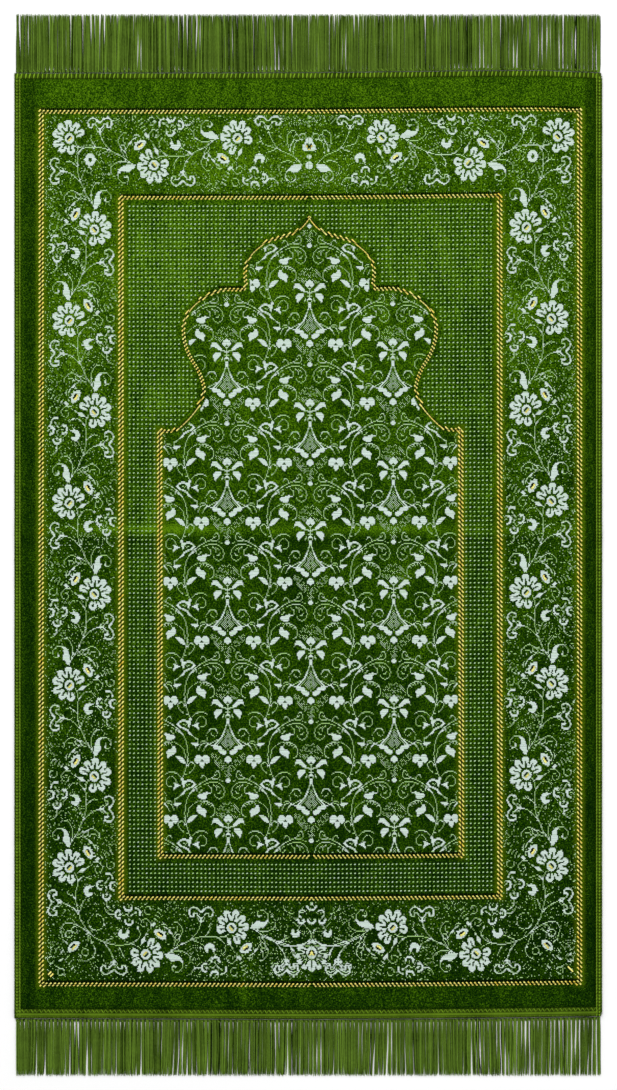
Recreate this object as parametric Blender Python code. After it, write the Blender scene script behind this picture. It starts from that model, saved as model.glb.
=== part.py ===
"""Prayer rug: a woven pile cloth with overlocked edges and a sewn fringe at each end.

The rug lies flat with its face up.  X runs across it, Y runs along it towards the point of
the arch in its field, Z is up, and the origin is the middle of its footprint on the floor.
Every length is in metres.
"""

from math import sin

import bmesh
import bpy

MM = 0.001

# Overall footprint.
RUG_WIDTH = 680.0 * MM
OVERALL_LENGTH = 1228.2 * MM
TOP_EDGE_Y = 546.4 * MM           # outer line of the edging at the arch end
BOTTOM_EDGE_Y = -548.0 * MM       # outer line of the edging at the foot end
GAP = 0.3 * MM                    # clearance between neighbouring pieces

# Pile cloth.
CLOTH_HEIGHT = 4.0 * MM           # backing and pile together
PILE_ROUNDING = 0.9 * MM          # how far the pile falls back at the edging
PILE_SHOULDER_Z = 3.2 * MM
UNDERSIDE_ROUNDING = 0.4 * MM
MARGIN_LOW_Z = 1.1 * MM           # bare woven margin that the edging wraps
MARGIN_HIGH_Z = 2.3 * MM

# Edging: overlock yarn wrapped round the margin.
EDGING_HEIGHT = 3.4 * MM
EDGING_WALL = 0.8 * MM            # yarn above and below the margin
EDGING_TURN = 1.2 * MM            # yarn round the cut edge
EDGING_CORNER = 0.7 * MM
SIDE_BAND = 7.6 * MM              # width of the edging along each long side
TOP_BAND = 6.6 * MM
BOTTOM_BAND = 11.2 * MM           # edging and its stay tape at the foot end

# Fringe: one comb of yarn bunches at each end, sewn on under its chain heading.
FRINGE_HEIGHT = 2.2 * MM
HEADING_DEPTH = 5.0 * MM
TEETH = 70                        # each stands for two neighbouring bunches of yarn
TOOTH_GAP = 1.1 * MM
TIP_TAPER = 0.6 * MM
TIP_UNEVENNESS = 1.0 * MM

# The rug was stored folded once across its middle, which left a low ridge.
FOLD_Y = 11.6 * MM
FOLD_RIDGE = (
    # offset along the rug, rise
    (-24.0 * MM, 0.0 * MM),
    (-13.0 * MM, 0.5 * MM),
    (-4.5 * MM, 1.3 * MM),
    (0.0 * MM, 1.6 * MM),
    (4.5 * MM, 1.2 * MM),
    (12.0 * MM, 0.5 * MM),
    (22.0 * MM, 0.0 * MM),
)

# The two ends aren't quite straight: each row is a place across the rug.
END_LINES = (
    # share of the half width, top line, bottom line (both as offsets along Y)
    (-1.00, -0.8 * MM, 0.4 * MM),
    (-0.50, -0.7 * MM, 0.0 * MM),
    (0.00, -0.4 * MM, -0.6 * MM),
    (0.30, 0.7 * MM, 0.0 * MM),
    (0.55, 1.8 * MM, 0.8 * MM),
    (0.80, 2.2 * MM, 1.8 * MM),
    (1.00, -0.6 * MM, 2.8 * MM),
)

GREEN_PILE = (0.045, 0.105, 0.006, 1.0)
GREEN_EDGING = (0.060, 0.130, 0.010, 1.0)
GREEN_FRINGE = (0.070, 0.140, 0.018, 1.0)


def clear_scene():
    """Remove every object of the scene."""
    for item in list(bpy.data.objects):
        bpy.data.objects.remove(item, do_unlink=True)


def fabric(name, color, roughness):
    """Return a plain cloth material."""
    material = bpy.data.materials.new(name)
    material.use_nodes = True
    shader = material.node_tree.nodes["Principled BSDF"]
    shader.inputs["Base Color"].default_value = color
    shader.inputs["Roughness"].default_value = roughness
    shader.inputs["Metallic"].default_value = 0.0
    return material


def add_piece(name, shape, material):
    """Turn a bmesh into a named object with its material."""
    bmesh.ops.recalc_face_normals(shape, faces=shape.faces)
    mesh = bpy.data.meshes.new(name)
    shape.to_mesh(mesh)
    shape.free()
    mesh.materials.append(material)
    piece = bpy.data.objects.new(name, mesh)
    bpy.context.scene.collection.objects.link(piece)
    return piece


def end_line(x, top):
    """Return the Y of the edging's outer line at x, at the top or the bottom end."""
    share = x / (RUG_WIDTH / 2)
    base = TOP_EDGE_Y if top else BOTTOM_EDGE_Y
    for left, right in zip(END_LINES, END_LINES[1:]):
        if share <= right[0]:
            blend = (share - left[0]) / (right[0] - left[0])
            column = 1 if top else 2
            return base + left[column] + blend * (right[column] - left[column])
    return base + END_LINES[-1][1 if top else 2]


def fold_rise(y):
    """Return how far the fold lifts the cloth at y."""
    offset = y - FOLD_Y
    for low, high in zip(FOLD_RIDGE, FOLD_RIDGE[1:]):
        if low[0] <= offset <= high[0]:
            return low[1] + (offset - low[0]) / (high[0] - low[0]) * (high[1] - low[1])
    return 0.0


def fold_stations():
    """Return the places along the rug where the fold's slope changes."""
    return [FOLD_Y + offset for offset, _rise in FOLD_RIDGE]


def outline(side_inset, top_inset, bottom_inset, z):
    """Return one closed loop of points round the cloth, counter-clockwise from above."""
    half = RUG_WIDTH / 2 - side_inset
    across = [row[0] * half for row in END_LINES]
    along = fold_stations()
    bottom = [(x, end_line(x, top=False) + bottom_inset) for x in across]
    top = [(x, end_line(x, top=True) - top_inset) for x in reversed(across)]
    right = [(half, y) for y in along]
    left = [(-half, y) for y in reversed(along)]
    return [(x, y, z + fold_rise(y)) for x, y in bottom + right + top + left]


def cap_across(shape, ring):
    """Close a loop made by outline() with strips that run from side to side."""
    ends = len(END_LINES)
    folds = len(FOLD_RIDGE)
    bottom = ring[:ends]
    right = ring[ends:ends + folds]
    top = ring[ends + folds:2 * ends + folds]
    left = list(reversed(ring[2 * ends + folds:]))
    shape.faces.new(bottom + [right[0], left[0]])
    for index in range(folds - 1):
        shape.faces.new([left[index], right[index], right[index + 1], left[index + 1]])
    shape.faces.new([left[-1], right[-1]] + top)


def build_cloth(material):
    """Build the pile cloth, one solid with a bare margin on all four sides."""
    band = (SIDE_BAND + GAP, TOP_BAND + GAP, BOTTOM_BAND + GAP)
    margin = (EDGING_TURN + GAP,) * 3
    levels = (
        # insets at the sides, top and bottom, extra inset, height
        (band, UNDERSIDE_ROUNDING, 0.0),
        (band, 0.0, UNDERSIDE_ROUNDING),
        (band, 0.0, MARGIN_LOW_Z),
        (margin, 0.0, MARGIN_LOW_Z),
        (margin, 0.0, MARGIN_HIGH_Z),
        (band, 0.0, MARGIN_HIGH_Z),
        (band, 0.0, PILE_SHOULDER_Z),
        (band, PILE_ROUNDING, CLOTH_HEIGHT),
    )
    shape = bmesh.new()
    rings = []
    for insets, extra, z in levels:
        points = outline(*(inset + extra for inset in insets), z)
        rings.append([shape.verts.new(point) for point in points])
    for lower, upper in zip(rings, rings[1:]):
        for index in range(len(lower)):
            after = (index + 1) % len(lower)
            shape.faces.new([lower[index], lower[after], upper[after], upper[index]])
    cap_across(shape, rings[0])
    cap_across(shape, rings[-1])
    return add_piece("rug_cloth", shape, material)


def edging_profile(band):
    """Return the edging's section: distance in from the outer line, and height."""
    return (
        (EDGING_CORNER, 0.0),
        (band, 0.0),
        (band, EDGING_WALL),
        (EDGING_TURN, EDGING_WALL),
        (EDGING_TURN, EDGING_HEIGHT - EDGING_WALL),
        (band, EDGING_HEIGHT - EDGING_WALL),
        (band, EDGING_HEIGHT - EDGING_CORNER / 2),
        (band - EDGING_CORNER, EDGING_HEIGHT),
        (EDGING_CORNER, EDGING_HEIGHT),
        (0.0, EDGING_HEIGHT - EDGING_CORNER),
        (0.0, EDGING_CORNER),
    )


def sweep(name, sections, material):
    """Join a row of equal sections into one closed piece."""
    shape = bmesh.new()
    rings = [[shape.verts.new(point) for point in section] for section in sections]
    for near, far in zip(rings, rings[1:]):
        for index in range(len(near)):
            after = (index + 1) % len(near)
            shape.faces.new([near[index], near[after], far[after], far[index]])
    shape.faces.new(rings[0])
    shape.faces.new(rings[-1])
    return add_piece(name, shape, material)


def build_side_edging(name, side, material):
    """Build the edging along one long side; side is -1 for the left and +1 for the right."""
    edge = side * RUG_WIDTH / 2
    stations = [end_line(edge, top=False)] + fold_stations() + [end_line(edge, top=True)]
    sections = []
    for y in stations:
        rise = fold_rise(y)
        sections.append([(edge - side * inset, y, z + rise) for inset, z in edging_profile(SIDE_BAND)])
    return sweep(name, sections, material)


def build_end_edging(name, top, material):
    """Build the edging across one end, between the two side edgings."""
    half = RUG_WIDTH / 2 - SIDE_BAND - GAP
    inward = -1 if top else 1
    profile = edging_profile(TOP_BAND if top else BOTTOM_BAND)
    sections = []
    for share, _top_offset, _bottom_offset in END_LINES:
        x = share * half
        y = end_line(x, top)
        sections.append([(x, y + inward * inset, z) for inset, z in profile])
    return sweep(name, sections, material)


def build_fringe(name, top, material):
    """Build one end's fringe as a comb: a heading strip and a row of teeth."""
    outward = 1 if top else -1
    half = RUG_WIDTH / 2
    pitch = RUG_WIDTH / TEETH
    tip_y = outward * OVERALL_LENGTH / 2
    plan = [(row[0] * half, end_line(row[0] * half, top) + outward * GAP) for row in END_LINES]
    for tooth in reversed(range(TEETH)):
        left = -half + tooth * pitch
        right = left + pitch
        inner_right = right if tooth == TEETH - 1 else right - TOOTH_GAP / 2
        inner_left = left if tooth == 0 else left + TOOTH_GAP / 2
        shortfall = TIP_UNEVENNESS * (0.5 + 0.5 * sin(2.3 * tooth)) if 0 < tooth < TEETH - 1 else 0.0
        root_right = end_line(inner_right, top) + outward * (GAP + HEADING_DEPTH)
        root_left = end_line(inner_left, top) + outward * (GAP + HEADING_DEPTH)
        plan.append((inner_right, root_right))
        plan.append((inner_right - TIP_TAPER, tip_y - outward * shortfall))
        plan.append((inner_left + TIP_TAPER, tip_y - outward * shortfall))
        plan.append((inner_left, root_left))
    shape = bmesh.new()
    floor = [shape.verts.new((x, y, 0.0)) for x, y in plan]
    base = shape.faces.new(floor)
    raised = bmesh.ops.extrude_face_region(shape, geom=[base])["geom"]
    lifted = [item for item in raised if isinstance(item, bmesh.types.BMVert)]
    bmesh.ops.translate(shape, verts=lifted, vec=(0.0, 0.0, FRINGE_HEIGHT))
    return add_piece(name, shape, material)


def main():
    """Build the rug's seven pieces."""
    clear_scene()
    pile = fabric("green pile", GREEN_PILE, 0.95)
    edging = fabric("green edging yarn", GREEN_EDGING, 0.85)
    fringe = fabric("green fringe yarn", GREEN_FRINGE, 0.80)
    build_cloth(pile)
    build_side_edging("edging_left", -1, edging)
    build_side_edging("edging_right", 1, edging)
    build_end_edging("edging_top", True, edging)
    build_end_edging("edging_bottom", False, edging)
    build_fringe("fringe_top", True, fringe)
    build_fringe("fringe_bottom", False, fringe)


main()
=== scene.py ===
"""Prayer rug: a woven velvet cloth with an arched niche, a flowered border, gold lines, edgings and fringes.

The pile's figures are charted on the rug's own loom grid, one cell for each crossing of a warp end
and a pick, and each row of filled cells becomes one cut tuft. Charts are drawn in millimetres and meshes
are in metres.
"""

from __future__ import annotations

import logging
from collections.abc import Sequence
from dataclasses import dataclass, field
from enum import Enum, Flag, auto
from math import ceil, cos, hypot, pi, radians, sin

import bpy
import numpy as np
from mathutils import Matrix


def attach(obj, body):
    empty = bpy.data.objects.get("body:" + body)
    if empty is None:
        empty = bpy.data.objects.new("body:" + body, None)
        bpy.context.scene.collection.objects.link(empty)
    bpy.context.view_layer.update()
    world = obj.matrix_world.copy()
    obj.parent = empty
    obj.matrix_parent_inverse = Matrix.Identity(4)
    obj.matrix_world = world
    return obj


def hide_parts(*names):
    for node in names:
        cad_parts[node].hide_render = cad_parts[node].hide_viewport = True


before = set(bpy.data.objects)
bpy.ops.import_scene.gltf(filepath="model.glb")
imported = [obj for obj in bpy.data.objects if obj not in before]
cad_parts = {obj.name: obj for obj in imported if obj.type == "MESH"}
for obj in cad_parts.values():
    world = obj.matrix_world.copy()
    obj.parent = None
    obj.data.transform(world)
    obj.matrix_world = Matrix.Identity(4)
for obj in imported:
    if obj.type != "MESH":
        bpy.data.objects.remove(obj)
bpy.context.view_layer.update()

log = logging.getLogger("prayer_rug")

Point = tuple[float, float]
Shade = tuple[float, float, float]
Piece = bpy.types.Object
Finish = bpy.types.Material
Socket = bpy.types.NodeSocket
MM = 0.001


class Yarn(Enum):
    """The yarns that the rug is made of."""

    PILE = "pile"
    EDGING = "edging_yarn"
    FRINGE = "fringe_yarn"


class Flip(Flag):
    """The ways in which a chart is laid: mirrored across or along the rug, or with ends and picks swapped."""

    NONE = 0
    ACROSS = auto()
    ALONG = auto()
    SWAP = auto()


# ---------------------------------------------------------------- the cloth as it lies


@dataclass(frozen=True)
class Lay:
    """How the cloth lies on the floor, in mm: its ends lean, its picks bow and a fold crosses it."""

    half_width: float = 340.0
    top_edge: float = 546.4
    bottom_edge: float = -548.0
    cloth_height: float = 4.0
    axis: float = 2.5
    lean: float = -0.0032
    fold_y: float = 11.6
    fold: tuple[Point, ...] = ((-24, 0), (-13, 0.5), (-4.5, 1.3), (0, 1.6), (4.5, 1.2), (12, 0.5), (22, 0))
    ends: tuple[tuple[float, float, float], ...] = (
        (-1.0, -0.8, 0.4),
        (-0.5, -0.7, 0.0),
        (0.0, -0.4, -0.6),
        (0.3, 0.7, 0.0),
        (0.55, 1.8, 0.8),
        (0.8, 2.2, 1.8),
        (1.0, -0.6, 2.8),
    )

    def bow(self, across: np.ndarray, along: np.ndarray) -> np.ndarray:
        """Work out how far a pick is bowed off its straight line.

        Args:
            across: Distances from the long centre line.
            along: Distances from the middle of the rug.

        Returns:
            The offsets along the rug.
        """
        share = np.clip(across / self.half_width, -1, 1)
        table = np.array(self.ends)
        top = np.interp(share, table[:, 0], table[:, 1])
        bottom = np.interp(share, table[:, 0], table[:, 2])
        blend = np.clip((along - self.bottom_edge) / (self.top_edge - self.bottom_edge), 0, 1)
        return top * blend + bottom * (1 - blend)

    def place(self, across: np.ndarray, along: np.ndarray) -> tuple[np.ndarray, np.ndarray]:
        """Turn woven distances into places on the floor."""
        return across + self.shift(across, along), along + self.bow(across, along)

    def shift(self, across: np.ndarray, along: np.ndarray) -> np.ndarray:
        """Return how far an end lies to one side: the middle leans, the long sides don't."""
        return self.axis + self.lean * along * np.clip((230 - abs(across)) / 100, 0, 1)

    def rise(self, x: np.ndarray, y: np.ndarray) -> np.ndarray:
        """Work out the height that folds and slack lift the cloth by.

        Args:
            x: Places across the rug.
            y: Places along the rug.

        Returns:
            The lift above the floor.
        """
        shape = np.array(self.fold)
        ridge = np.interp(y - self.fold_y - 1.5 * np.sin(x / 90.0), shape[:, 0], shape[:, 1])
        slack = 0.22 * np.sin(x / 61.0 + 0.7) * np.sin(y / 83.0 + 0.4) + 0.14 * np.sin(x / 29.0 - y / 47.0)
        return ridge + 0.22 + 0.5 * slack

    def top(self, x: np.ndarray, y: np.ndarray) -> np.ndarray:
        """Return the height of the pile's face."""
        return self.cloth_height - 0.35 + self.rise(x, y)


# ---------------------------------------------------------------- drawing on the loom grid


def smooth(points: Sequence[Point], closed: bool = False, step: float = 0.4) -> np.ndarray:
    """Draw one flowing curve through points.

    Args:
        points: The points that it passes through.
        closed: Whether it comes back to its start.
        step: The rough distance between its samples.

    Returns:
        The samples, one row each.
    """
    knots = [np.array(p, float) for p in points]
    if len(knots) < 3:
        count = max(2, int(np.hypot(*(knots[-1] - knots[0])) / step) + 1)
        return knots[0] + (knots[-1] - knots[0]) * np.linspace(0, 1, count)[:, None]
    if closed:
        knots = [knots[-1], *knots, knots[0], knots[1]]
    else:
        knots = [2 * knots[0] - knots[1], *knots, 2 * knots[-1] - knots[-2]]
    spans = []
    for a, b, c, d in zip(knots, knots[1:], knots[2:], knots[3:]):
        count = max(2, int(np.hypot(*(c - b)) / step) + 1)
        t = np.linspace(0, 1, count, endpoint=False)[:, None]
        cubic = (3 * b - a - 3 * c + d) * t**3 + (2 * a - 5 * b + 4 * c - d) * t**2
        spans.append(0.5 * (2 * b + (c - a) * t + cubic))
    if not closed:
        spans.append(knots[-2][None])
    return np.concatenate(spans)


class Chart:
    """A chart of loom cells, drawn in millimetres from its middle cell."""

    END = 1.2
    PICK = 1.285
    FINE = 4

    def __init__(self, width: float, height: float, seed: int = 1) -> None:
        """Start an empty chart.

        Args:
            width: Its width in mm.
            height: Its height in mm.
            seed: Seeds the dropped and speckled cells.
        """
        self.ends = ceil(width / 2 / self.END)
        self.picks = ceil(height / 2 / self.PICK)
        self.cells = np.zeros((2 * self.picks + 1, 2 * self.ends + 1), bool)
        self.gold = self.cells.copy()
        self.black = self.cells.copy()
        self.random = np.random.default_rng(seed)
        offsets = (np.arange(self.FINE) + 0.5) / self.FINE - 0.5
        self.fine_x = ((np.arange(-self.ends, self.ends + 1)[:, None] + offsets) * self.END).ravel()
        self.fine_y = ((np.arange(-self.picks, self.picks + 1)[:, None] + offsets) * self.PICK).ravel()

    def line(self, points: Sequence[Point], closed: bool = False, miss: float = 0.09) -> None:
        """Weave a chain of single cells along a curve.

        Args:
            points: The curve's points.
            closed: Whether the curve is closed.
            miss: The share of its cells that the loom drops.
        """
        path = smooth(points, closed)
        ends = np.rint(path[:, 0] / self.END).astype(int) + self.ends
        picks = np.rint(path[:, 1] / self.PICK).astype(int) + self.picks
        chain = [(picks[0], ends[0])]
        steps = list(zip(picks, ends))
        for here, after in zip(steps[1:], [*steps[2:], steps[-1]]):
            corner = abs(after[0] - chain[-1][0]) == 1 and abs(after[1] - chain[-1][1]) == 1
            if here != chain[-1] and not (corner and here != after):
                chain.append(here)
        height, width = self.cells.shape
        for pick, end in chain:
            if 0 <= pick < height and 0 <= end < width and self.random.random() >= miss:
                self.cells[pick, end] = True

    def _put(self, full: np.ndarray, fill: bool) -> None:
        """Fill or clear the cells that a fine mask covers by half or more."""
        height, width = self.cells.shape
        cover = full.reshape(height, self.FINE, width, self.FINE).mean((1, 3))
        self.cells[cover >= 0.5] = fill

    def shape(self, points: Sequence[Point], fill: bool = True, sharp: bool = False) -> None:
        """Fill or clear a closed outline.

        Args:
            points: The outline's points.
            fill: Fills it, or clears it.
            sharp: Keeps its corners.
        """
        path = np.array(points, float) if sharp else smooth(points, True)
        xs = np.where((self.fine_x >= path[:, 0].min()) & (self.fine_x <= path[:, 0].max()))[0]
        ys = np.where((self.fine_y >= path[:, 1].min()) & (self.fine_y <= path[:, 1].max()))[0]
        if not len(xs) or not len(ys):
            return
        x, y = np.meshgrid(self.fine_x[xs], self.fine_y[ys])
        inside = np.zeros(x.shape, bool)
        for (ax, ay), (bx, by) in zip(path, np.roll(path, -1, axis=0)):
            if ay != by:
                inside ^= ((ay > y) != (by > y)) & (x < (bx - ax) * (y - ay) / (by - ay) + ax)
        full = np.zeros((len(self.fine_y), len(self.fine_x)), bool)
        full[np.ix_(ys, xs)] = inside
        self._put(full, fill)

    def band(
        self, points: Sequence[Point], width: float, end: float | None = None, fill: bool = True
    ) -> None:
        """Fill or clear a stroke.

        Args:
            points: The stroke's curve.
            width: Its width.
            end: Its width at the far end, where that differs.
            fill: Fills it, or clears it.
        """
        path = smooth(points)
        reach = np.linspace(width, width if end is None else end, len(path)) / 2
        full = np.zeros((len(self.fine_y), len(self.fine_x)), bool)
        for (px, py), r in zip(path, reach):
            xs = np.where(abs(self.fine_x - px) <= r)[0]
            ys = np.where(abs(self.fine_y - py) <= r)[0]
            if len(xs) and len(ys):
                near = (self.fine_x[xs][None, :] - px) ** 2 + (self.fine_y[ys][:, None] - py) ** 2 <= r * r
                full[np.ix_(ys, xs)] |= near
        self._put(full, fill)

    def disc(
        self, center: Point, rx: float, ry: float | None = None, turn: float = 0, fill: bool = True
    ) -> None:
        """Fill or clear an oval.

        Args:
            center: Its middle.
            rx: Half its width.
            ry: Half its height, where that differs.
            turn: How far it is turned, in degrees.
            fill: Fills it, or clears it.
        """
        ry = rx if ry is None else ry
        c, s = cos(radians(turn)), sin(radians(turn))
        rim = [(rx * cos(2 * pi * i / 20), ry * sin(2 * pi * i / 20)) for i in range(20)]
        self.shape([(center[0] + c * x - s * y, center[1] + s * x + c * y) for x, y in rim], fill)

    def speckle(self, points: Sequence[Point], density: float) -> None:
        """Scatter single cells inside an outline, clear of what is drawn already.

        Args:
            points: The outline's points.
            density: The share of every other cell that is filled.
        """
        drawn = self.cells
        self.cells = np.zeros_like(drawn)
        self.shape(points)
        area = self.cells
        self.cells = drawn
        near = drawn.copy()
        near[1:] |= drawn[:-1]
        near[:-1] |= drawn[1:]
        near[:, 1:] |= drawn[:, :-1]
        near[:, :-1] |= drawn[:, 1:]
        pick, end = np.indices(area.shape)
        spots = (self.random.random(area.shape) < density) & ((pick + end) % 2 == 0)
        self.cells |= area & spots & ~near

    def speck(self, x: float, y: float, turn: float = 55, size: float = 1.0) -> None:
        """Weave a gold and a black fleck into a flower's heart.

        Args:
            x: Its place across.
            y: Its place along.
            turn: Its slant in degrees.
            size: Its size against the usual one.
        """
        ivory = self.cells
        along = np.array((cos(radians(turn)), sin(radians(turn)))) * 2.6 * size
        side = np.array((-along[1], along[0])) * 0.38
        for layer, shift in ((self.gold, side * -1), (self.black, side)):
            self.cells = layer
            middle = np.array((x, y)) + shift
            self.band([tuple(middle - along), tuple(middle + along)], 1.75 * size)
        self.cells = ivory & ~self.gold & ~self.black

    def mirror(self) -> None:
        """Add the mirror image about the middle end."""
        self.cells |= self.cells[:, ::-1]


class Palmette(Chart):
    """The repeat of the niche: a palmette on a bell-shaped stalk, inside scrolling vines."""

    def __init__(self) -> None:
        """Draw the right half, mirror it and add the middle."""
        super().__init__(124, 172, seed=5)
        self._flower()
        self._bell()
        self._vine()
        self._upper_scrolls()
        self._side_leaves()
        self.mirror()
        self._middle()

    def _flower(self) -> None:
        """Draw the five leaves of the palmette."""
        self.shape([(-0.6, 12.6), (2.6, 11.3), (4.6, 8.6), (5.0, 6.0), (3.0, 3.4), (-0.6, 2.0)])
        self.disc((0, 4.4), 1.3, 1.9, fill=False)
        upper = [(4.4, -1.9), (6.6, 2.2), (10, 6.4), (13.2, 8.6), (16.6, 8.2), (18.4, 5.2), (19.4, 0.6)]
        self.shape([*upper, (17, 2.6), (14.4, 3), (11.4, 1.2), (8.2, -1.2)])
        lower = [(6, -4.4), (9.4, -3.4), (13.4, -3.6), (16, -6.8), (15.2, -10.4), (13.4, -14.6)]
        self.shape([*lower, (11.6, -11.4), (9.6, -9), (7.6, -7)])
        self.band([(0, 2.4), (0, -4), (0, -9.6)], 1.6)
        self.line([(1.4, -2.6), (3, -1.6), (5.2, -1.4)])
        self.line([(1.6, -6.4), (4.2, -8.6), (5.8, -12.4)])
        self.line([(1.2, -9.2), (2.4, -11.4), (2.6, -14.4)])
        self.shape([(-1.6, -13.6), (1.5, -13.6), (1.5, -17.2), (0, -19.6), (-1.5, -17.2)])

    def _bell(self) -> None:
        """Draw the stalk below the palmette, its feet and the curls beside it."""
        self.band([(0.8, -17.6), (2.4, -24), (4.6, -30)], 1.1, 2.2)
        self.band([(4.2, -28.4), (6.2, -33.4), (9.2, -37)], 2.7, 1.7)
        self.band([(8.8, -36.4), (12.2, -40.6), (15.4, -44.6)], 1.6)
        self.band([(5.6, -36.6), (9.4, -40.8), (13.2, -44.6)], 1.2)
        self.shape([(13.4, -43.8), (17.6, -45.4), (16.2, -48.6), (12.4, -49.2), (10.8, -51.6), (8.6, -49.6)])
        self.shape(
            [
                (11, -47), (11.4, -50.4), (8.4, -54), (4.6, -56.6), (2.4, -55), (3, -51.4), (6, -49),
                (7.8, -46),
            ],
        )
        self.line([(3.4, -53), (1.6, -50.8), (0, -49.4)])
        self.shape(
            [(0, -57), (2.4, -59), (4.6, -61.4), (2.6, -63.8), (0, -66.2), (-2.6, -63.8), (-4.6, -61.4)]
        )
        ring = [(23.6, -38.6), (24.8, -34), (22.6, -29), (18.6, -25.4), (14.4, -26.2), (12.2, -30.4)]
        self.line([*ring, (14.6, -34), (18.2, -33.4), (18.8, -30.2)], miss=0.12)
        self.line([(12.4, -38.8), (17.4, -41.2), (22.8, -42.2), (27.4, -39.8), (30.8, -40.6)], miss=0.15)
        self.line([(17.6, -45.6), (22.4, -43.8), (26.2, -46.6), (28.6, -51.6)], miss=0.15)
        self.line([(23.8, -43.2), (29.6, -43), (32.4, -46.6), (34, -51)], miss=0.15)
        self.disc((36.6, -43.8), 3.2, 1.8, turn=8)
        self.line([(36.6, -42.6), (36.6, -47)])

    def _vine(self) -> None:
        """Draw the long vine with its leaf and its hook."""
        rising = [(42.8, -14.6), (45.2, -8.6), (47.6, -1), (49.4, 7), (49.8, 15.6), (48.8, 24.6), (46.2, 33)]
        self.line([*rising, (41.4, 40.4), (34.4, 46.6), (27.4, 51.4), (19.8, 54.8), (13.4, 58.8)], miss=0)
        self.line([(48.2, 0), (50.4, 8), (50.8, 16)], miss=0.35)
        self.line([(44.6, 36.4), (38, 41.6), (31, 45.4), (24.4, 48.8), (17.8, 50.2)], miss=0.1)
        self.line(
            [(19.8, 54.8), (15.2, 54.2), (10.8, 55.2), (9.2, 59), (11, 62.4), (14.6, 61.8), (15.6, 59.2)]
        )
        self.line([(24.2, 52.6), (25.6, 56.2), (29, 57.8), (31.2, 55.2)])
        self.shape(
            [(47.6, 4), (44.8, 8.8), (40.8, 11.6), (35.4, 11.6), (38.6, 8.6), (41.4, 5.4), (45.2, 3.6)]
        )
        self.line([(46.4, -9), (51.8, -7), (56.2, -3), (57.4, 1.8), (54.4, 4.8), (51, 3), (50.4, -0.4)])

    def _upper_scrolls(self) -> None:
        """Draw the scrolls, the toothed ring and the two buds inside the vine."""
        scroll = [(17.8, 50.2), (11.6, 49.6), (6.6, 46), (4.2, 40.4), (5, 34.6), (9.4, 31.2), (13.8, 32.4)]
        self.line([*scroll, (15.6, 35.8)], miss=0.05)
        self.line([(13.6, 46.4), (9.8, 43.6), (8.8, 39.2), (11, 36.8), (13.4, 38.2)])
        self.line([(24.8, 47.2), (20.4, 44.6), (18.8, 40.4), (20.8, 37.4), (23.2, 37.6)])
        self.line([(17.4, 47.4), (14, 44.2), (13.4, 41)], miss=0.15)
        self.line([(37, 43.6), (35.8, 39.4), (32.2, 38.8), (30.4, 41.4)])
        bud = [(24.2, 40.2), (26.8, 37.8), (29, 37.6), (33, 36.4), (35, 33.8), (31.4, 30.6), (27.4, 29.8)]
        self.shape([*bud, (24.4, 33.4)])
        self.disc((30.6, 37), 1, fill=False)
        ring = [(46.4, 10), (45.8, 17.2), (42, 23.2), (36.2, 27.2), (29.4, 28.8), (22.8, 27.6), (17.6, 23.6)]
        self.line([*ring, (15.6, 17.6), (17, 12.2), (20.2, 10)])
        for turn in (78, 96, 114, 132, 150):
            x = 28 + 11.6 * cos(radians(turn))
            y = 17.8 + 10.2 * sin(radians(turn))
            self.line([(x, y), (x - 2.6 * cos(radians(turn + 18)), y - 2.8 * sin(radians(turn + 18)))])
        tulip = [
            (35.2, 23), (36.6, 18.4), (34.4, 14.4), (30, 12), (27, 8.8), (25.6, 13), (25, 16.6),
            (28.2, 19.8),
        ]
        self.shape([*tulip, (31.2, 20.8), (32, 23.4)])

    def _side_leaves(self) -> None:
        """Draw the curl, the hollow leaf and the blossom below the vine."""
        self.line([(42.6, -15.4), (39.6, -10), (34.6, -7), (29, -6.4), (24.2, -8.4)])
        ring = [
            (41.2, -22.4), (37.6, -20.4), (36, -16), (33, -12.4), (28.8, -12.2), (25.4, -15.4),
            (25, -20),
        ]
        self.line([*ring, (28.2, -23.4), (31.6, -23)])
        self.band([(34.8, -19.4), (36.4, -21.4), (37.6, -22.6)], 2.6)
        self.band([(36.4, -21.6), (34.6, -24.2), (33.6, -26.4)], 2.6)
        self.band([(43.8, -16.2), (47, -17.6), (51, -15.6), (55, -17.4), (57.8, -20.6)], 2.2, 2.0)
        self.band([(43.4, -15), (44.4, -19.4), (44.8, -23.6)], 3.4, 2.2)
        self.band([(57.8, -20.4), (54.4, -23.6), (50, -25.4), (46.4, -27.6), (44.2, -31.6)], 2.2)
        self.line([(47, -19.6), (49.4, -21.4), (51.6, -20.6)])
        self.line([(44.2, -30.4), (41, -33.6), (38.4, -36)], miss=0)
        self.band([(38.4, -35.6), (35.4, -37.8), (34.8, -41.2), (37.2, -43.6)], 1.6)
        self.band([(41.4, -42.2), (39.4, -43.4)], 2.4)
        self.disc((25.2, -60.8), 4.1, 5.2, turn=-24)
        self.disc((34.6, -60.8), 4.1, 5.2, turn=24)
        self.shape(
            [(26.4, -57.2), (29.9, -58.2), (33.4, -57.2), (32.4, -60.6), (29.9, -61.6), (27.4, -60.6)]
        )
        self.disc((29.9, -63), 1.7, 1.4, fill=False)
        self.shape([(29.9, -63), (32.4, -65.4), (32.8, -67.6), (29.9, -71.6), (27, -67.6), (27.4, -65.4)])

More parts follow.
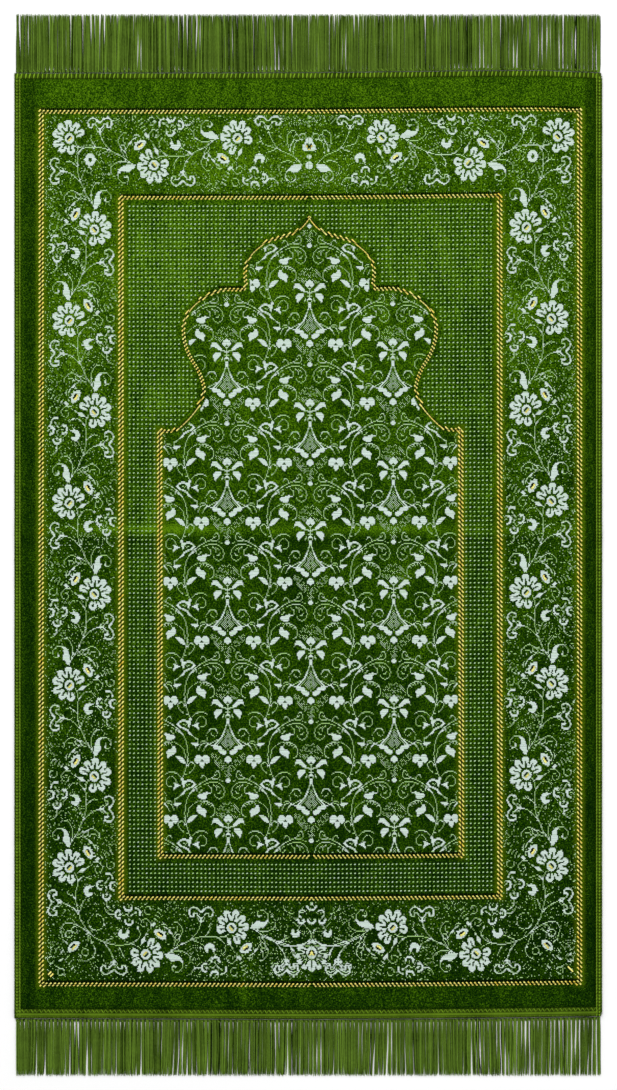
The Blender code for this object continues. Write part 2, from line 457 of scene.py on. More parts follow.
    def _middle(self) -> None:
        """Add the small diamond and the clouds of single cells."""
        self.shape([(0, 55.4), (3.2, 52), (0, 48.6), (-3.2, 52)], sharp=True)
        for side in (1, -1):
            self.line([(6.4 * side, 51.8), (9.6 * side, 52.4)])
        bell = [(0, -27), (4.4, -34), (7.4, -43), (3.2, -47.6)]
        self.speckle([*bell, *[(-x, y) for x, y in reversed(bell[1:])]], 0.85)
        cloud = [
            (0, -68.6), (6, -64), (10.4, -57), (19, -54), (19.4, -60), (13.6, -67), (7.4, -73.6),
            (2, -82),
        ]
        self.speckle([*cloud, *[(-x, y) for x, y in reversed(cloud[1:])]], 0.62)
        crown = [(0, 28), (7, 25), (12.4, 19.6), (13.6, 11), (7, 9), (0, 14)]
        self.speckle([*crown, *[(-x, y) for x, y in reversed(crown[1:-1])]], 0.55)


class Flora(Chart):
    """The parts that the border's charts share."""

    def petal(
        self, x: float, y: float, turn: float, length: float, half: float = 4.5, foot: float = 7.2
    ) -> None:
        """Draw one slit petal.

        Args:
            x: The flower's place across.
            y: The flower's place along.
            turn: The petal's direction in degrees.
            length: How far its tip reaches.
            half: Half its width.
            foot: How far out it starts.
        """
        middle = np.array((x, y))
        out = np.array([cos(radians(turn)), sin(radians(turn))])
        side = np.array([-out[1], out[0]])
        rim = [(foot, 0.45), (foot + 4, 0.85), (length - 4.5, 1.0), (length - 1.2, 0.66), (length, 0)]
        edge = [*rim, *[(r, -w) for r, w in reversed(rim[:-1])]]
        self.shape([tuple(middle + out * r + side * half * w) for r, w in edge])
        slit = [tuple(middle + out * foot), tuple(middle + out * (foot + 0.6 * (length - foot)))]
        self.band(slit, 1.9, 1.5, fill=False)

    def blossom(self, x: float, y: float, petals: Sequence[Point], notches: Sequence[float]) -> None:
        """Draw a round flower with its pale heart.

        Args:
            x: Its place across.
            y: Its place along.
            petals: Each petal's direction and length.
            notches: The directions in which its rim is notched.
        """
        for turn, length in petals:
            self.petal(x, y, turn, length)
        for turn in notches:
            a = radians(turn)
            inner, outer = 13.5, 23.0
            path = [(x + inner * cos(a), y + inner * sin(a)), (x + outer * cos(a), y + outer * sin(a))]
            self.band(path, 1.5, 3.0, fill=False)
        self.disc((x, y), 7.7, 8.7, fill=False)
        self.disc((x, y), 5.3, 6.3)
        self.speck(x, y, 50)

    def heart(self, x: float, y: float, way: Point, stroke: float = 1.85) -> None:
        """Draw a hollow heart palmette.

        Args:
            x: Its place across.
            y: Its place along.
            way: The unit direction in which its branch grows.
            stroke: The width of its lobes.
        """
        ax, ay = way

        def at(points: Sequence[Point], side: int) -> list[Point]:
            """Turn the palmette's own points into the chart's."""
            return [(x + a * ax - b * side * ay, y + a * ay + b * side * ax) for a, b in points]

        lobe = [(-4.4, 9.4), (-4.2, 13.0), (0.2, 14.8), (4.3, 12.5), (5.4, 8.4), (3.6, 4.2), (0.8, 1.0)]
        for side in (1, -1):
            self.band(at(lobe, side), stroke)
            self.band(at([(-1.2, 9.2), (-4.4, 9.4)], side), stroke)
            self.band(at([(-0.6, 8.8), (-1.2, 5.6), (-4.2, 3.4), (-6.6, 1.0)], side), stroke * 0.8)
            self.band(at([(-5.8, 4.2), (-8.6, 3), (-9.8, 0)], side), 1.3)
        self.band(at([(-9.8, 0), (-5.6, 0)], 1), 2.2, 1.2)

    def almond(self, x: float, y: float, turn: float) -> None:
        """Draw an almond bud with a ragged edge and a gold fleck.

        Args:
            x: Its place across.
            y: Its place along.
            turn: Its slant in degrees.
        """
        c, s = cos(radians(turn)), sin(radians(turn))
        rim = [(-8.8, 0.6), (-5, 3.6), (0, 4.6), (5.4, 3.4), (8.6, -0.4), (5, -3.6), (0, -4.4), (-5.4, -3.2)]
        self.shape([(x + a * c - b * s, y + a * s + b * c) for a, b in rim])
        self.speck(x, y, turn, 1.15)

    def rings(self, rings: Sequence[tuple[float, float, float]]) -> None:
        """Draw small open rings, each a place and a radius."""
        for x, y, r in rings:
            rim = [(x + r * cos(radians(a)), y + r * sin(radians(a))) for a in range(20, 360, 40)]
            self.line(rim, miss=0.03)


class Blossom(Flora):
    """A round flower of the border with slit petals and a pale heart."""

    PETALS = (
        (94, 21.6), (60, 20.4), (28, 19.6), (-83, 19.2), (-125, 19.6), (-158, 20.4), (162, 20.8), (126, 20.6)
    )
    NOTCHES = (77, 44, -104, -141.5, -178, 144, 110)

    def __init__(self, width: float = 46, height: float = 46, seed: int = 3) -> None:
        """Draw the flower in the middle of its chart."""
        super().__init__(width, height, seed)
        self.blossom(0, 0, self.PETALS, self.NOTCHES)


class RingFlower(Flora):
    """The small ring flower beside each upper corner."""

    def __init__(self) -> None:
        """Draw it."""
        super().__init__(20, 20)
        self.disc((0, 0), 6.2, 7.2)
        self.disc((0, 0), 2.2, 2.6, fill=False)


class HeadMiddle(Flora):
    """The middle of the border at the arch end: a small lobed flower over two comma buds."""

    def __init__(self) -> None:
        """Draw its right half, mirror it and add the flower."""
        super().__init__(132, 96, seed=14)
        self.shape(
            [
                (8.7, -23.5), (12.5, -21.2), (18, -21.8), (23.5, -25.2), (27.4, -31.5), (23.4, -29.2),
                (15.5, -30.5), (11, -28.5),
            ],
        )
        self.line([(27.2, -31.5), (27, -37.5), (20.3, -41.6), (15.5, -37.5), (16.4, -33.7)])
        stem = [
            (8.7, -22.1), (12.6, -17), (20.3, -10.5), (29.3, -6.7), (35.7, -2.8), (42.1, 6.2),
            (46.6, 16.4),
        ]
        self.line(stem, miss=0)
        self.line([(35.7, -2.8), (43.4, -0.9), (53.7, 3), (57, 11.3)])
        self.line([(38.3, -3.5), (50.5, -8.6)])
        self.line([(16.4, -19.5), (24.2, -17), (31.9, -19.5), (35, -26), (32.5, -33.7)])
        self.line([(17.7, -11.8), (17.7, -4.1), (15.8, 3.6), (11.3, 7.5), (8, 6.6)])
        self.line([(21, -7), (21, 1), (17.7, 6.2)])
        self.line([(22.9, -5), (25.7, 8.7), (22.9, 15.8), (17.7, 18.4), (15.2, 15.8)])
        self.rings([(7.5, 11, 3.6), (14.5, 9.4, 3.5)])
        self.line([(31, 9), (35, 12)])
        self.heart(47.3, 29, (0, 1))
        self.mirror()
        egg = [(0, 10.2), (3.8, 7.8), (5.4, 2.5), (8.2, -1.6), (6, -5.6)]
        self.shape([*egg, *[(-x, y) for x, y in reversed(egg[1:])]])
        self.disc((0, -12.5), 2.6, 3)
        self.disc((0, -22.3), 4.1, 4.8)
        self.speck(-1.4, -0.8, -50)
        self.speck(1.4, -0.8, 50)
        for y in (33, 28, 23):
            self.disc((0, y), 1.5, 1.7)
        self.speckle([(4, 24), (30, 24), (34, 36), (-34, 36), (-30, 24), (-4, 24)], 0.26)
        self.speckle([(-34, -30), (34, -30), (50, -46), (-50, -46)], 0.22)


class FootMiddle(Flora):
    """The middle of the border at the foot end: a flower under a cluster of crescents."""

    def __init__(self) -> None:
        """Draw its right half, mirror it and add the flower's heart."""
        super().__init__(124, 124, seed=15)
        for turn, length in ((-90, 22.6), (-63, 21.5), (-38, 20.5), (-14, 18.8), (19, 17.6)):
            self.petal(0, 0, turn, length, 3.9)
        for turn in (-76.5, -50.5, -26, 2.5):
            a = radians(turn)
            self.band([(11 * cos(a), 11 * sin(a)), (25 * cos(a), 25 * sin(a))], 1.5, 2.9, fill=False)
        stem = [
            (0, 16.3), (6.8, 11.2), (15.8, 8.6), (22.2, 7.3), (30, 9.9), (37.7, 12.2), (45.4, 15),
            (55.6, 20.2),
        ]
        self.line(stem, miss=0)
        self.line([(0, 16.3), (0, 21), (3.6, 27.2)], miss=0)
        self.line([(26, 17.6), (31, 15.7), (37.7, 12.2)])
        self.line([(24.2, 6), (20.3, -4.2)])
        self.line([(41.5, 11.8), (36.4, 4.8), (32.5, -0.4), (30, -6.8)])
        self.heart(30.4, -17.2, (0, -1), 1.25)
        blob = [
            (13.2, 23.4), (14.5, 18.9), (18.4, 17.4), (22.4, 19.4), (23.7, 24), (21.2, 28.3),
            (20.3, 24), (18.4, 22.6),
        ]
        self.shape([*blob, (15.2, 24.9)])
        self.band([(8.4, 37.9), (9.4, 35), (12, 33.7), (14.8, 35.6), (16, 38.8)], 2.6)
        self.line([(12.6, 31.7), (16.4, 25.3)])
        self.band([(0, 33.4), (2.8, 35), (4.3, 37.9)], 3.2, 2.4)
        self.band([(0, 49), (3.5, 50.4), (5.6, 54.2)], 2.2)
        self.band([(12, 40.7), (14.5, 43.9), (13.2, 47.8), (10, 49), (6.8, 47.2)], 1.8)
        self.line([(22.2, 45.2), (27.4, 46.5), (31.2, 49.7), (32.5, 53.6)])
        self.mirror()
        self.disc((0, 56.8), 2.3, 2.6)
        self.disc((0, 0), 7.4, 8.8, fill=False)
        self.disc((0, 0), 6.1, 7.6)
        self.shape([(-6.2, 9.4), (-3.6, 12.6), (0, 14.4), (3.6, 12.6), (6.2, 9.4), (0, 10.6)])
        self.speck(-1.3, 0, 62)
        self.speck(1.3, 0, -62)
        self.speckle([(-50, 56), (50, 56), (50, -34), (-50, -34)], 0.07)


class FootCorner(Flora):
    """The left corner of the border at the foot end; the right one is its mirror image."""

    def __init__(self) -> None:
        """Draw the turning stem with its hearts, ring, almond bud and ferns."""
        super().__init__(180, 140, seed=16)
        self.line(
            [(-51.5, 67), (-47.8, 57), (-50.7, 41), (-48.6, 28), (-46.4, 19.4), (-44.2, 12.1), (-37, 0.6)],
            miss=0,
        )
        turn = [
            (-37, 0.6), (-29.8, -6.6), (-18.2, -12.4), (-2.3, -16.5), (9.3, -15.3), (19.4, -11),
            (23.7, -3.8),
        ]
        self.line([*turn, (20.1, 4.2)], miss=0)
        self.line([(9.3, -15.3), (17, -16), (24, -20)])
        self.line([(-14.6, -11), (-2.3, -6.4)])
        self.line([(-18.2, -12.4), (-11, -22.6), (-5.9, -34.1)], miss=0)
        self.line([(-2.3, -16.8), (2, -22.6), (4.6, -29)])
        self.heart(-6.4, -44.6, (0, -1))
        self.line([(-46.4, 19.4), (-52.9, 25.9), (-60.1, 30.2), (-66.6, 33.1)], miss=0)
        self.heart(-76.8, 32.4, (-1, 0))
        rim = [(-26.6 + 9 * cos(radians(a)), 10 + 9.4 * sin(radians(a))) for a in range(0, 360, 30)]
        self.line(rim, closed=True)
        self.line([(-45, 23.7), (-41.3, 35.3)])
        self.line([(-60.1, 43.2), (-53.6, 40.3), (-50.7, 36)])
        self.line([(-47.1, 58.4), (-41.3, 62.7), (-32.7, 59.8)])
        self.almond(-52.9, -18.2, 43)
        for x, y in ((-77, -18.4), (-71.7, -20.6), (-66.6, -24.4), (-60.6, -31.2), (-57, -37), (-54, -43)):
            self.line([(x - 1.6, y - 2), (x, y), (x + 1.6, y + 2)], miss=0)
        self.band([(-69.4, -35), (-65.4, -32.4)], 2)
        self.line([(-67.4, 0.6), (-64.5, 7.1), (-57.2, 9.3), (-47.1, 5.6), (-37.7, -0.1)])
        self.line([(-67.4, 0.6), (-66, -6), (-63.8, -11), (-59.4, -15.3)])
        self.rings(
            [(-58, -3.8, 4), (-51.5, 1.3, 3.5), (-39.2, -24.7, 4), (-79.2, -33.4, 3.6), (-67.4, -47.1, 4)]
        )
        self.line([(-35.6, -2.3), (-31.2, -13.9), (-27.6, -22.6), (-29.8, -29.8), (-37, -34.1)])
        self.line([(-37, -2), (-36, -10), (-38, -18)])
        self.line([(-44, -29), (-47, -27)])
        self.line([(-77, -37.5), (-70, -43)])
        self.speckle([(-86, 24), (-50, 20), (-30, -30), (24, -30), (24, -56), (-86, -56)], 0.08)


class Spray(Blossom):
    """The repeat of the border: the round flower with the stem, buds, ferns and scrolls round it."""

    def __init__(self) -> None:
        """Draw the flower and all that grows round it."""
        super().__init__(150, 220, seed=9)
        self._near_buds()
        self._comma_bud()
        self._stem()
        self.heart(45.4, 67.7, (1, 0))
        self._scrolls()
        self._crescents()
        self._ground()

    def _near_buds(self) -> None:
        """Draw the bud in the flower's gap, its spiral, the fern and the almond bud."""
        self.disc((15.3, -3.1), 4.1, 2.1, turn=35)
        self.line([(9.6, -6.2), (12.6, -5.2)])
        coil = [(18.8, -0.9), (25, 2.7), (26.8, 5.3), (30, 6.6), (34.6, 5.4), (37.8, 1.4), (37.4, -3.4)]
        self.line([*coil, (33.6, -6), (29.8, -3.8), (30, 0.2), (33.2, 1.2)])
        self.disc((32.6, 9.8), 2.8, 2.0, turn=30)
        for x, y in ((37.2, 12.2), (40.9, 14.4), (44.7, 16.2), (48.5, 17.4)):
            self.line([(x - 1.4, y + 2.4), (x, y), (x + 1.4, y - 2.2)], miss=0)
        self.line([(43.4, 5.4), (43.2, 1), (46.6, -1.4), (50.6, 0.4), (51.2, 4.6), (48.4, 6.8)])
        self.almond(21.6, 17.6, -58)
        for i in range(5):
            x, y = 21.2 + 1.9 * i, 26.4 - 3.4 * i
            self.line([(x, y), (x + 1.4, y + 0.8)], miss=0)

    def _comma_bud(self) -> None:
        """Draw the comma bud with its two arcs."""
        body = [
            (-1.2, 23.6), (0.6, 29), (0, 35), (-1.8, 40), (-4.6, 44), (-10.6, 46.2), (-7, 41.4),
            (-6.8, 37),
        ]
        self.shape([*body, (-7.8, 32.4), (-5, 27.6)])
        curl = [(-9.5, 45.1), (-14.8, 44.2), (-18.8, 39.8), (-18.8, 34.5), (-15.7, 31.9), (-12.6, 33.6)]
        self.line([*curl, (-13.4, 37.2)])
        arch = [(2.9, 32.7), (3.8, 41.6), (2, 47.8), (-1.5, 53), (-5.9, 54.4), (-10.4, 52.2), (-12.6, 49.2)]
        self.line(arch)

    def _stem(self) -> None:
        """Draw the main stem and its twigs."""
        low = [(-0.5, 23.4), (1.6, 28.6), (5.6, 34.5), (9.1, 39.8), (12.2, 46.9), (15.3, 54), (18, 61.9)]
        self.line([*low, (19.3, 71.7), (19.7, 80.5), (18.4, 88.5), (19.7, 96.5), (21.5, 100.9)], miss=0)
        self.line([(18, 88.5), (14.4, 93.8), (10, 97.3), (4.7, 97.8), (0.3, 94.2)])
        self.line([(19.3, 72.6), (22.4, 75.2), (27.7, 78.8), (32.1, 78.8)], miss=0.1)
        self.line([(15.3, 58.4), (12.7, 64.6), (10.4, 69.9)])
        self.line([(15.3, 54), (21.5, 60.2), (26.8, 64.6), (33, 66.8), (37.4, 68.1)], miss=0)

    def _scrolls(self) -> None:
        """Draw the scrolls between the stem and the almond bud."""
        high = [
            (9.1, 37.2), (14.4, 40.7), (18.8, 41.6), (24.8, 45.1), (30.1, 43.5), (34.2, 38.8),
            (34, 33.6),
        ]
        self.line([*high, (30.6, 31.6), (28.2, 34.2)])
        self.line([(9.6, 34.5), (14.4, 35.4), (19.7, 33.6), (24.2, 30.1), (27.8, 26.4), (30, 21.4)])
        self.line([(16.6, 40.6), (15.6, 37.4), (18.4, 35.8), (21.6, 37.8), (21.6, 40.6)])
        self.line([(23, 35.6), (26, 38.6), (29.8, 38)])
        self.line([(31.4, 26.2), (33, 22.4), (31.4, 18)])
        self.line([(22.8, 29.4), (26, 28)])

    def _crescents(self) -> None:
        """Draw the cluster of crescents and its tail."""
        blob = [
            (26, -22), (22.4, -20.4), (17.6, -23.4), (16.6, -28.6), (19.6, -33.4), (25, -33),
            (27.4, -29.6),
        ]
        self.shape([*blob, (24.6, -29.6), (22, -28.4), (22.8, -25.4)])
        self.line([(29.4, -20), (26.2, -22.4)])
        self.band([(36.8, -15.4), (32.8, -17), (31.8, -20.8), (33.6, -24.2), (37, -25.4)], 2.3)
        self.band([(47.1, -31.6), (46.2, -35.4), (42.8, -37), (39.6, -35.4), (38.9, -31.6)], 2.2)
        self.disc((43, -31), 1.5)
        self.band([(51.9, -16.6), (47.9, -17.6), (46.8, -21.4), (48.2, -24.8), (51.4, -26.4)], 2.3)
        self.line([(55.5, -21.4), (51.9, -21)])
        self.band([(42.8, -7), (46.6, -7.4), (49, -9.6), (49.6, -13)], 2.2)
        self.line([(45.7, -11.7), (43.1, -16.1), (40.4, -19.7), (43.1, -22.6), (42.2, -26.4)])
        self.line([(43.1, -39), (43.5, -44.5), (46.4, -48.2), (50.4, -50)])
        self.line([(35.8, -20.6), (38, -20.4)])

    def _ground(self) -> None:
        """Sprinkle single cells over the ground, away from the flower."""
        self.speckle(
            [(24, -6), (30, -14), (14, -24), (8, -40), (30, -50), (56, -46), (60, -8), (52, -4)], 0.09
        )
        self.speckle([(8, 44), (-12, 58), (-20, 52), (-20, 90), (4, 92), (14, 84), (14, 62)], 0.13)
        self.speckle([(36, 20), (38, 40), (30, 50), (24, 54), (36, 60), (54, 52), (56, 24)], 0.13)


# ---------------------------------------------------------------- what is woven where


@dataclass(frozen=True)
class Frames:
    """The gold lines on the loom, in mm: two oblongs and the niche with its lobed arch."""

    outer: tuple[float, float, float] = (311.0, -507.8, 501.0)
    inner: tuple[float, float, float] = (218.7, -407.9, 401.6)
    niche_half: float = 173.9
    niche_foot: float = -359.7
    niche_head: float = 134.0
    shoulder: tuple[Point, ...] = (
        (173.9, 132.3),
        (158.5, 132.5),
        (145.5, 141.7),
        (130.7, 158.9),
        (123.2, 175.2),
        (123, 185.2),
        (128.5, 201.2),
        (137, 215.7),
        (143.6, 231.2),
        (145.9, 251.7),
        (139, 271.7),
        (122, 286.7),
        (100, 295.1),
        (76.5, 295.1),
    )
    crown: tuple[Point, ...] = (
        (76.5, 295.1),
        (73.4, 300.2),
        (74.4, 310.2),
        (73.8, 321.7),
        (69, 334.1),
        (59.5, 344),
        (48.8, 351.1),
        (35, 355.7),
        (21.9, 359.6),
        (11, 366.3),
        (4.5, 373.2),
        (0, 379.6),
    )

    def oblong(self, sizes: tuple[float, float, float]) -> np.ndarray:
        """Return an oblong's corners from its half width, foot and head."""
        half, foot, head = sizes
        return np.array([(-half, foot), (half, foot), (half, head), (-half, head)], float)

    def uprights(self) -> tuple[tuple[float, float, float], ...]:
        """Return the half width, foot and head of every pair of upright lines."""
        return self.outer, self.inner, (self.niche_half, self.niche_foot, self.niche_head)

    def niche(self) -> np.ndarray:
        """Draw the niche's outline.

        Returns:
            Its points, from its right foot over the arch to its left foot.
        """
        right = np.concatenate([smooth(self.shoulder, step=2.0), smooth(self.crown, step=2.0)])
        left = right[::-1] * (-1, 1)
        foot = np.array([(self.niche_half, self.niche_foot)])
        return np.concatenate([foot, right, left, foot * (-1, 1)])

    def outlines(self) -> tuple[np.ndarray, np.ndarray, np.ndarray]:
        """Return the three closed outlines."""
        return self.oblong(self.outer), self.oblong(self.inner), self.niche()


def trace(outline: np.ndarray, step: float) -> np.ndarray:
    """Walk round a closed outline.

    Args:
        outline: Its corners.
        step: The distance between samples.

    Returns:
        The samples, one row each.
    """
    walks = []
    for a, b in zip(outline, np.roll(outline, -1, axis=0)):
        count = max(1, int(np.hypot(*(b - a)) / step))
        walks.append(a + (b - a) * np.linspace(0, 1, count, endpoint=False)[:, None])
    return np.concatenate(walks)


def distance(samples: np.ndarray, u: np.ndarray, v: np.ndarray, reach: float) -> np.ndarray:
    """Measure how far points lie from a traced line.

    Args:
        samples: The line's samples.
        u: The points' places across.
        v: The points' places along.
        reach: The largest distance of interest.

    Returns:
        The distances, or infinity beyond reach.
    """
    tile = 8.0
    margin = 420
    low = np.array((-margin, -640))
    raster = np.zeros((int(1280 / tile) + 1, int(2 * margin / tile) + 1), bool)
    cells = ((samples - low) / tile).astype(int)
    spread = ceil(reach / tile)
    for dy in range(-spread, spread + 1):
        for dx in range(-spread, spread + 1):
            raster[np.clip(cells[:, 1] + dy, 0, None), np.clip(cells[:, 0] + dx, 0, None)] = True
    out = np.full(u.shape, np.inf)
    near = raster[((v - low[1]) / tile).astype(int), ((u - low[0]) / tile).astype(int)]
    pu, pv = u[near], v[near]
    best = np.full(pu.shape, np.inf)
    for start in range(0, len(samples), 64):
        part = samples[start : start + 64]
        best = np.minimum(best, np.hypot(pu[:, None] - part[:, 0], pv[:, None] - part[:, 1]).min(1))
    out[near] = best
    return out


def inside(outline: np.ndarray, u: np.ndarray, v: np.ndarray) -> np.ndarray:
    """Tell which points lie inside a closed outline.

    Args:
        outline: Its corners.
        u: The points' places across.
        v: The points' places along.

    Returns:
        A mask of the points.
    """
    hit = np.zeros(u.shape, bool)
    for (ax, ay), (bx, by) in zip(outline, np.roll(outline, -1, axis=0)):
        if ay != by:
            hit ^= ((ay > v) != (by > v)) & (u < (bx - ax) * (v - ay) / (by - ay) + ax)
    return hit


@dataclass
class Weave:
    """The whole rug's chart: which cells of the loom grid show ivory pile."""

    frames: Frames = field(default_factory=Frames)
    ends: int = 278
    picks: int = 424
    glide: int = 82
    clear: float = 4.4

    def __post_init__(self) -> None:
        """Lay out the grid and sort its cells by the part of the design that they lie in."""
        v, u = np.indices((2 * self.picks + 1, 2 * self.ends + 1)).astype(float)
        self.u = (u - self.ends) * Chart.END
        self.v = (v - self.picks) * Chart.PICK
        outer, inner, niche = self.frames.outlines()
        gap = [distance(trace(line, 1.5), self.u, self.v, 12) for line in (outer, inner, niche)]
        in_outer, in_inner, in_niche = (inside(line, self.u, self.v) for line in (outer, inner, niche))
        self.in_niche = in_niche & (gap[2] > self.clear)
        self.in_field = in_inner & ~in_niche & (gap[1] > 5.3) & (gap[2] > 5.6)
        self.in_border = in_outer & ~in_inner & (gap[0] > self.clear) & (gap[1] > self.clear)

    def stamp(self, canvas: np.ndarray, cells: np.ndarray, u: float, v: float) -> None:
        """Weave a chart into a canvas.

        Args:
            canvas: The canvas.
            cells: The chart's cells.
            u: The place of its middle across the rug, in mm.
            v: The place of its middle along the rug, in mm.
        """
        height, width = cells.shape
        row = self.picks + round(v / Chart.PICK) - height // 2
        column = self.ends + round(u / Chart.END) - width // 2
        low_row, low_column = max(row, 0), max(column, 0)
        high_row, high_column = min(row + height, canvas.shape[0]), min(column + width, canvas.shape[1])
        if high_row > low_row and high_column > low_column:
            part = cells[low_row - row : high_row - row, low_column - column : high_column - column]
            canvas[low_row:high_row, low_column:high_column] |= part

    def niche(self) -> np.ndarray:
        """Weave the palmettes in a half-drop repeat and clip them to the niche.

        Returns:
            Its ivory cells.
        """
        canvas = np.zeros(self.u.shape, bool)
        cells = Palmette().cells
        for column in range(-2, 3):
            drop = 53.5 if column % 2 else 0
            for row in range(-4, 5):
                self.stamp(canvas, cells, column * 80 * Chart.END, 19.9 + (row * 107 + drop) * Chart.PICK)
        return canvas & self.in_niche

    def border(self) -> tuple[np.ndarray, np.ndarray, np.ndarray]:
        """Weave the flowering border: sprays glide up the sides and along the ends.

        Returns:
            Its ivory, gold and black cells.
        """
        canvases = tuple(np.zeros(self.u.shape, bool) for _ in range(3))

        def put(chart: Chart, u: float, v: float, flip: Flip = Flip.NONE) -> None:
            """Weave a chart's three layers.

            Args:
                chart: The chart.
                u: The place of its middle across the rug.
                v: The place of its middle along the rug.
                flip: How it is laid.
            """
            for canvas, cells in zip(canvases, (chart.cells, chart.gold, chart.black)):
                cells = cells.T if Flip.SWAP in flip else cells
                cells = cells[:, ::-1] if Flip.ACROSS in flip else cells
                cells = cells[::-1] if Flip.ALONG in flip else cells
                self.stamp(canvas, cells, u, v)

        spray = Spray()
        for i in range(8):
            v = 364.3 - i * self.glide * Chart.PICK
            at_inner = i % 2 == 0
            u = -265.0 + (15.0 if at_inner else -13.4)
            put(spray, u, v, Flip.ACROSS if at_inner else Flip.NONE)
            put(spray, -u, v, Flip.NONE if at_inner else Flip.ACROSS)
        for u, v, flip in (
            (-180.4, 439.3, Flip.ACROSS),
            (-83.2, 470.2, Flip.ACROSS | Flip.ALONG),
            (183.4, 439.3, Flip.NONE),
            (83.6, 470.2, Flip.ALONG),
            (-190.6, -472.6, Flip.NONE),
            (-92.8, -441.8, Flip.ALONG),
            (190.4, -472.6, Flip.ACROSS),
            (93.6, -441.8, Flip.ACROSS | Flip.ALONG),
        ):
            put(spray, u, v, Flip.SWAP | flip)
        put(Blossom(), -278.4, 470.6)
        put(Blossom(), 286.2, 470.6, Flip.ACROSS)
        put(RingFlower(), -254.8, 445.4)
        put(RingFlower(), 256.9, 446.6, Flip.ACROSS)
        put(HeadMiddle(), 0, 461.4)
        put(FootMiddle(), 0, -470.4)
        put(FootCorner(), -221.3, -445.6)
        put(FootCorner(), 221.3, -445.6, Flip.ACROSS)
        random = np.random.default_rng(17)
        near = 12
        by_line = (abs(self.u) > self.frames.outer[0] - near) | (self.v > self.frames.outer[2] - near)
        density = np.where(by_line, 0.09, 0.038)
        canvases[0][random.random(self.u.shape) < density] = True
        ivory, gold, black = (canvas & self.in_border for canvas in canvases)
        return ivory & ~gold & ~black, gold & ~black, black

    def dots(self) -> np.ndarray:
        """Weave one dot for every four ends and four picks of the field."""
        canvas = np.zeros(self.u.shape, bool)
        canvas[(self.picks + 1) % 4 :: 4, (self.ends + 2) % 4 :: 4] = True
        return canvas & self.in_field


# ---------------------------------------------------------------- meshes and geometry nodes


def add_object(name: str, mesh: bpy.types.Mesh) -> Piece:
    """Put a mesh into the scene as an object.

    Args:
        name: The object's name.
        mesh: Its mesh.

    Returns:
        The object.
    """
    piece = bpy.data.objects.new(name, mesh)
    bpy.context.scene.collection.objects.link(piece)
    return piece


def make_mesh(
    name: str, points: np.ndarray, faces: Sequence[Sequence[int]], edges: Sequence = ()
) -> bpy.types.Mesh:
    """Build a mesh from arrays.

    Args:
        name: The mesh's name.
        points: Its vertices in metres.
        faces: Its faces.
        edges: Its loose edges.

    Returns:
        The mesh.
    """
    mesh = bpy.data.meshes.new(name)
    mesh.from_pydata(np.asarray(points).tolist(), [tuple(e) for e in edges], [tuple(f) for f in faces])
    mesh.update()
    return mesh


def tag(mesh: bpy.types.Mesh, name: str, values: np.ndarray) -> None:
    """Store a number or a vector for each vertex.

    Args:
        mesh: The mesh.
        name: The attribute's name.
        values: One number or one row of three for each vertex.
    """
    values = np.asarray(values, np.float32)
    vector = values.ndim == 2
    attribute = mesh.attributes.new(name, "FLOAT_VECTOR" if vector else "FLOAT", "POINT")
    attribute.data.foreach_set("vector" if vector else "value", values.ravel())


@dataclass
class Recipe:
    """A geometry node tree with named inputs."""

    name: str
    tree: bpy.types.NodeTree = field(init=False)
    sockets: dict[str, str] = field(default_factory=dict)

    def __post_init__(self) -> None:
        """Start the tree with its geometry input and output."""
        self.tree = bpy.data.node_groups.new(self.name, "GeometryNodeTree")
        self.tree.interface.new_socket("Geometry", in_out="INPUT", socket_type="NodeSocketGeometry")
        self.tree.interface.new_socket("Geometry", in_out="OUTPUT", socket_type="NodeSocketGeometry")

    def take(self, name: str, kind: str) -> None:
        """Add a named input of a socket kind such as Float, Object or Material."""
        socket = self.tree.interface.new_socket(name, in_out="INPUT", socket_type=f"NodeSocket{kind}")
        self.sockets[name] = socket.identifier

    def node(self, kind: str, settings: dict[str, object] | None = None, **inputs: object) -> bpy.types.Node:
        """Add a node.

        Args:
            kind: Its type, without the leading GeometryNode where it has one.
            settings: Its own settings, made first.
            inputs: Values or sockets for its inputs, with _ for a space.

        Returns:
            The node.
        """
        known = kind.startswith(("ShaderNode", "FunctionNode", "NodeGroup"))
        full = kind if known else f"GeometryNode{kind}"
        made = self.tree.nodes.new(full)
        for key, value in (settings or {}).items():
            setattr(made, key, value)
        for key, value in inputs.items():
            socket = made.inputs[key.replace("_", " ")]
            if isinstance(value, Socket):
                self.tree.links.new(value, socket)
            else:
                socket.default_value = value
        return made

    def read(self, name: str) -> Socket:
        """Return a number stored on the geometry."""
        return self.node("InputNamedAttribute", {"data_type": "FLOAT"}, Name=name).outputs["Attribute"]

    def run(self, source: Piece, **values: object) -> bpy.types.Mesh:
        """Apply the tree to an object and keep the plain mesh.

        Args:
            source: The object, which is removed afterwards.
            values: Values for the named inputs, with _ for a space.

        Returns:
            The resulting mesh.
        """
        modifier = source.modifiers.new(self.name, "NODES")
        modifier.node_group = self.tree
        for key, value in values.items():
            modifier[self.sockets[key.replace("_", " ")]] = value
        graph = bpy.context.evaluated_depsgraph_get()
        evaluated = source.evaluated_get(graph)
        mesh = bpy.data.meshes.new_from_object(evaluated, preserve_all_data_layers=True, depsgraph=graph)
        source.modifiers.remove(modifier)
        bpy.data.objects.remove(source)
        return mesh


